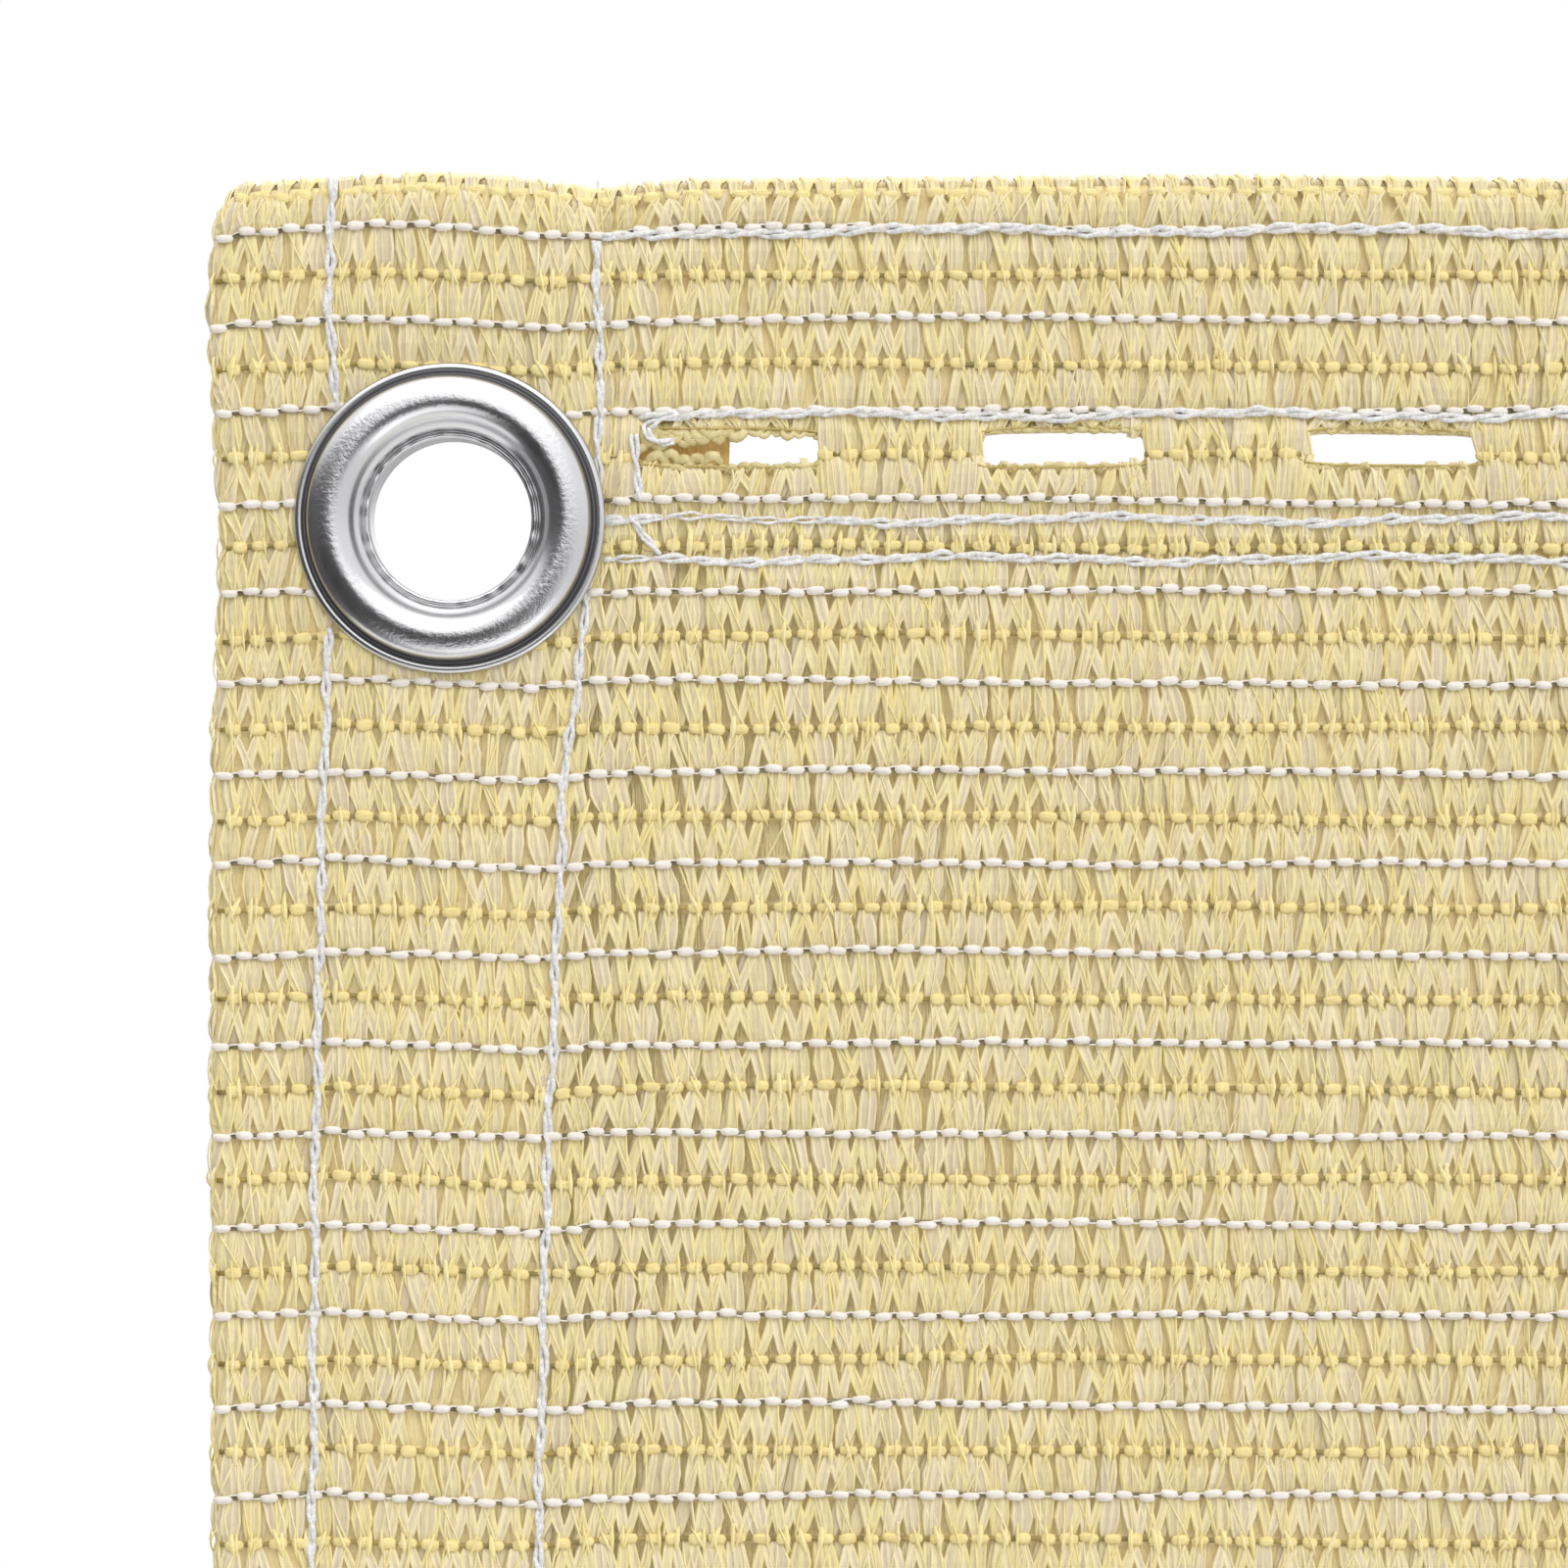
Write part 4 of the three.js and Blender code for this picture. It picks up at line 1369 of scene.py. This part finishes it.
CURLED_BARREL = (
    (6.95, 3.5), (8.2, 3.5), (8.15, 3.8), (7.8, 4.0), (7.2, 4.05), (6.7, 3.9), (6.35, 3.5),
    (6.2, 3.0), (6.2, 1.2), (6.2, -0.2), (6.26, -0.42), (6.4, -0.52), (6.56, -0.5), (6.68, -0.38),
)
DOME = (
    (6.76, -0.42), (6.92, -1.15), (7.25, -1.95), (7.8, -2.6), (8.45, -2.94), (9.1, -3.02), (9.85, -2.88),
    (10.42, -2.66), (10.76, -2.36), (10.88, -1.8),
)
RIM_AND_INSIDE = (
    (10.94, -1.4), (11.02, -1.22), (11.12, -1.2), (11.24, -1.29), (11.36, -1.37), (11.52, -1.4),
    (11.68, -1.37), (11.82, -1.28), (11.9, -1.1), (11.82, -0.9), (10.9, -0.9), (10.4, -1.5),
    (9.6, -2.2), (8.9, -2.4), (8.1, -1.9), (7.5, -0.9), (7.3, 0.2), (7.3, 1.6),
)


def rounded(points, parts=3):
    """A smooth line through the points: each stretch is divided in a few parts."""
    points = np.array(points)
    ends = np.vstack([2 * points[0] - points[1], points, 2 * points[-1] - points[-2]])
    before, start, finish, after = ends[:-3], ends[1:-2], ends[2:-1], ends[3:]
    line = []
    for share in np.arange(parts) / parts:
        line.append(
            start + share * (finish - before) / 2
            + share ** 2 * (before - 2.5 * start + 2 * finish - after / 2)
            + share ** 3 * (3 * start - 3 * finish + after - before) / 2)
    line = np.stack(line, 1).reshape(-1, 2)
    return tuple(map(tuple, line)) + (tuple(points[-1]),)


EYELET_PROFILE = CURLED_BARREL + rounded(DOME) + RIM_AND_INSIDE
WASHER_PROFILE = (
    (7.4, WASHER_SEAT), (11.3, WASHER_SEAT), (11.4, WASHER_SEAT + 0.12), (11.4, WASHER_SEAT + 0.42),
    (11.1, WASHER_SEAT + 0.66), (10.7, WASHER_SEAT + 0.7), (8.4, WASHER_SEAT + 0.7),
    (7.6, WASHER_SEAT + 0.7), (7.4, WASHER_SEAT + 0.6),
)


def crimped(turn, radius, depth):
    """The lip inside is lightly crumpled where the barrel was pressed."""
    rim = lump(radius - 6.5, 0.2) * (depth > -0.8) * (depth < 0.5)
    wave = np.sin(turn * 23) + 0.7 * np.sin(turn * 37 + 1.1) + 0.5 * np.sin(turn * 61 + 2.0)
    depth += rim * wave * 0.035
    radius += rim * np.sin(turn * 41 + 0.4) * 0.02


# Build


def declare(piece, slot_name, *nodes):
    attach(piece, "root")
    if nodes:
        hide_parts(*nodes)
    return piece


CLOTH = "knitted_cloth"

field = declare(field_sheet(), CLOTH, "cloth_field")
band_top = declare(band_sheet("top_band_cloth", True), CLOTH, "band_top")
band_bottom = declare(band_sheet("bottom_band_cloth", False), CLOTH, "band_bottom")
hem_left = declare(hem_sheet("left_hem_cloth", False), CLOTH, "hem_left")
hem_right = declare(hem_sheet("right_hem_cloth", True), CLOTH, "hem_right")

for height, down in (("top", EYELET_DOWN), ("bottom", HEIGHT - EYELET_DOWN)):
    for hand, x in (("left", LEFT + EYELET_IN), ("right", -LEFT - EYELET_IN)):
        place = f"{height}_{hand}"
        steps = 128 if place == "top_left" else 72
        eyelet = ring_piece(f"pressed_eyelet_{place}", EYELET_PROFILE, x, down, METAL, steps, crimped)
        declare(eyelet, "eyelet_metal", f"eyelet_{place}")
        washer = ring_piece(f"flat_washer_{place}", WASHER_PROFILE, x, down, METAL, 72)
        declare(washer, "eyelet_metal", f"washer_{place}")

STITCHES = stitch_tree()
SEWING = sewing_tree()
white_shape = pillow("white_stitch_shape")
yellow_shape = pillow("yellow_stitch_shape", power=3.6)
plain_shape = pillow("plain_thread_shape", around=3, steps=3, power=2.0)

knit = tape_layers() + chain_cords()
knit += [row_tails(), top_roll(), slot_lips(), slot_loops(), close_seams()]
knit.append(grown(
    "white_chain_stitches", chain_points(False), [], STITCHES, Stitch=white_shape,
    Half_size=(0.0007, 0.0003, 0.00033), Unevenness=0.08, Tilt=0.09, Seed=3, Yarn=WHITE_CHAIN))
knit.append(grown(
    "yellow_chain_stitches", chain_points(True), [], STITCHES, Stitch=yellow_shape,
    Half_size=(0.00066, 0.0002, 0.00042), Unevenness=0.16, Tilt=0.16, Seed=8, Yarn=YELLOW_CHAIN))
for name, on_front, seed in (("seam_threads_front", True, 6), ("seam_threads_back", False, 7)):
    knit.append(grown(
        name, *paths(far_seams(on_front)), SEWING, Stitch=plain_shape, Stitch_length=0.0046,
        Half_width=0.00036, Half_depth=0.0003, Unevenness=0.1, Seed=seed, Yarn=THREAD))
knit += [row_cords("chain_rows_front", True), row_cords("chain_rows_back", False)]
for piece in knit:
    declare(piece, CLOTH)
for shape in (white_shape, yellow_shape, plain_shape):
    bpy.data.objects.remove(shape)


# Floor, light and camera


floor_look = Finish("pale_floor")
floor_tint = floor_look.blend(
    floor_look.grain(0.01, 0.01, 0.01, 3.0), srgb(240, 240, 238), srgb(246, 246, 245))
floor_material = floor_look.surface(Base_Color=floor_tint, Roughness=0.7)
floor_points = [(x, y, -800) for x, y in ((-2400, -420), (2400, -420), (2400, 1400), (-2400, 1400))]
floor = make_piece("pale_floor", floor_points, [[0, 1, 2, 3]], floor_material)


def add_light(name, place, aim, size, power):
    lamp = bpy.data.lights.new(name, "AREA")
    lamp.shape = "RECTANGLE"
    lamp.size, lamp.size_y = size
    lamp.energy = power
    holder = add_object(name, lamp)
    holder.location = place
    holder.rotation_euler = (Vector(aim) - Vector(place)).to_track_quat("-Z", "Y").to_euler()


# The lights and the camera are placed in metres.
corner = (-1.456, 0.0, -0.046)
add_light("upper_softbox", (-1.5, -0.8, 1.0), corner, (1.6, 0.7), 5)
add_light("lower_softbox", (-1.35, -0.8, -0.75), corner, (1.2, 0.4), 1.5)

world = bpy.data.worlds.new("studio")
bpy.context.scene.world = world
world.use_nodes = True
# The camera sees plain white. The metal and the cloth are lit by a studio that is brightest above, and
# lower down brighter on the right than on the left, with a dark hollow beside the camera.
sky = Nodes(world.node_tree)
direction = sky.node("ShaderNodeTexCoord", output="Generated")
rightward, backward, upward = sky.parts(direction)
right = ((rightward - 0.12) * 2.2).kept()
left = ((rightward * -1.0 - 0.05) * 2.4).kept()
below = ((upward * -1.0 - 0.5) * 3.5).kept()
above = ((upward + 0.02 - left * 0.3) * 4.5).kept()
aside = (rightward + 0.2) * (rightward + 0.2)
under = (upward + 0.3) * (upward + 0.3)
facing = (backward + 0.92) * (backward + 0.92)
hollow = ((1.0 - (aside * 0.8 + under * 1.6 + facing) * 3.2) * 2.0).kept()
lower = (0.44 + right * 0.36 + below * 0.14 - left * 0.38 - hollow * 0.4).kept() + 0.04
upper = 1.56 - left * 0.5 - right * 0.55
brightness = lower * (1.0 - above) + upper * above
felt = sky.node("ShaderNodeBackground", sockets={0: sky.point(brightness, brightness, brightness), 1: 1.09})
seen = sky.node("ShaderNodeBackground", sockets={0: (1, 1, 1, 1), 1: 1.0})
camera_ray = sky.node("ShaderNodeLightPath", output="Is Camera Ray")
both = sky.node("ShaderNodeMixShader", sockets={0: camera_ray, 1: felt, 2: seen})
sky.node("ShaderNodeOutputWorld", sockets={0: both})

VIEW_WIDTH = 0.120
LENS = 85.0
SENSOR = 36.0
lens = bpy.data.cameras.new("camera")
lens.lens = LENS
lens.sensor_width = SENSOR
lens.clip_start = 0.01
camera = add_object("camera", lens)
camera.location = (-1.45635, (FRONT * MM) - VIEW_WIDTH * LENS / SENSOR, -0.0461)
camera.rotation_euler = (math.pi / 2, 0, 0)
bpy.context.scene.camera = camera
bpy.context.scene.view_settings.view_transform = "Standard"
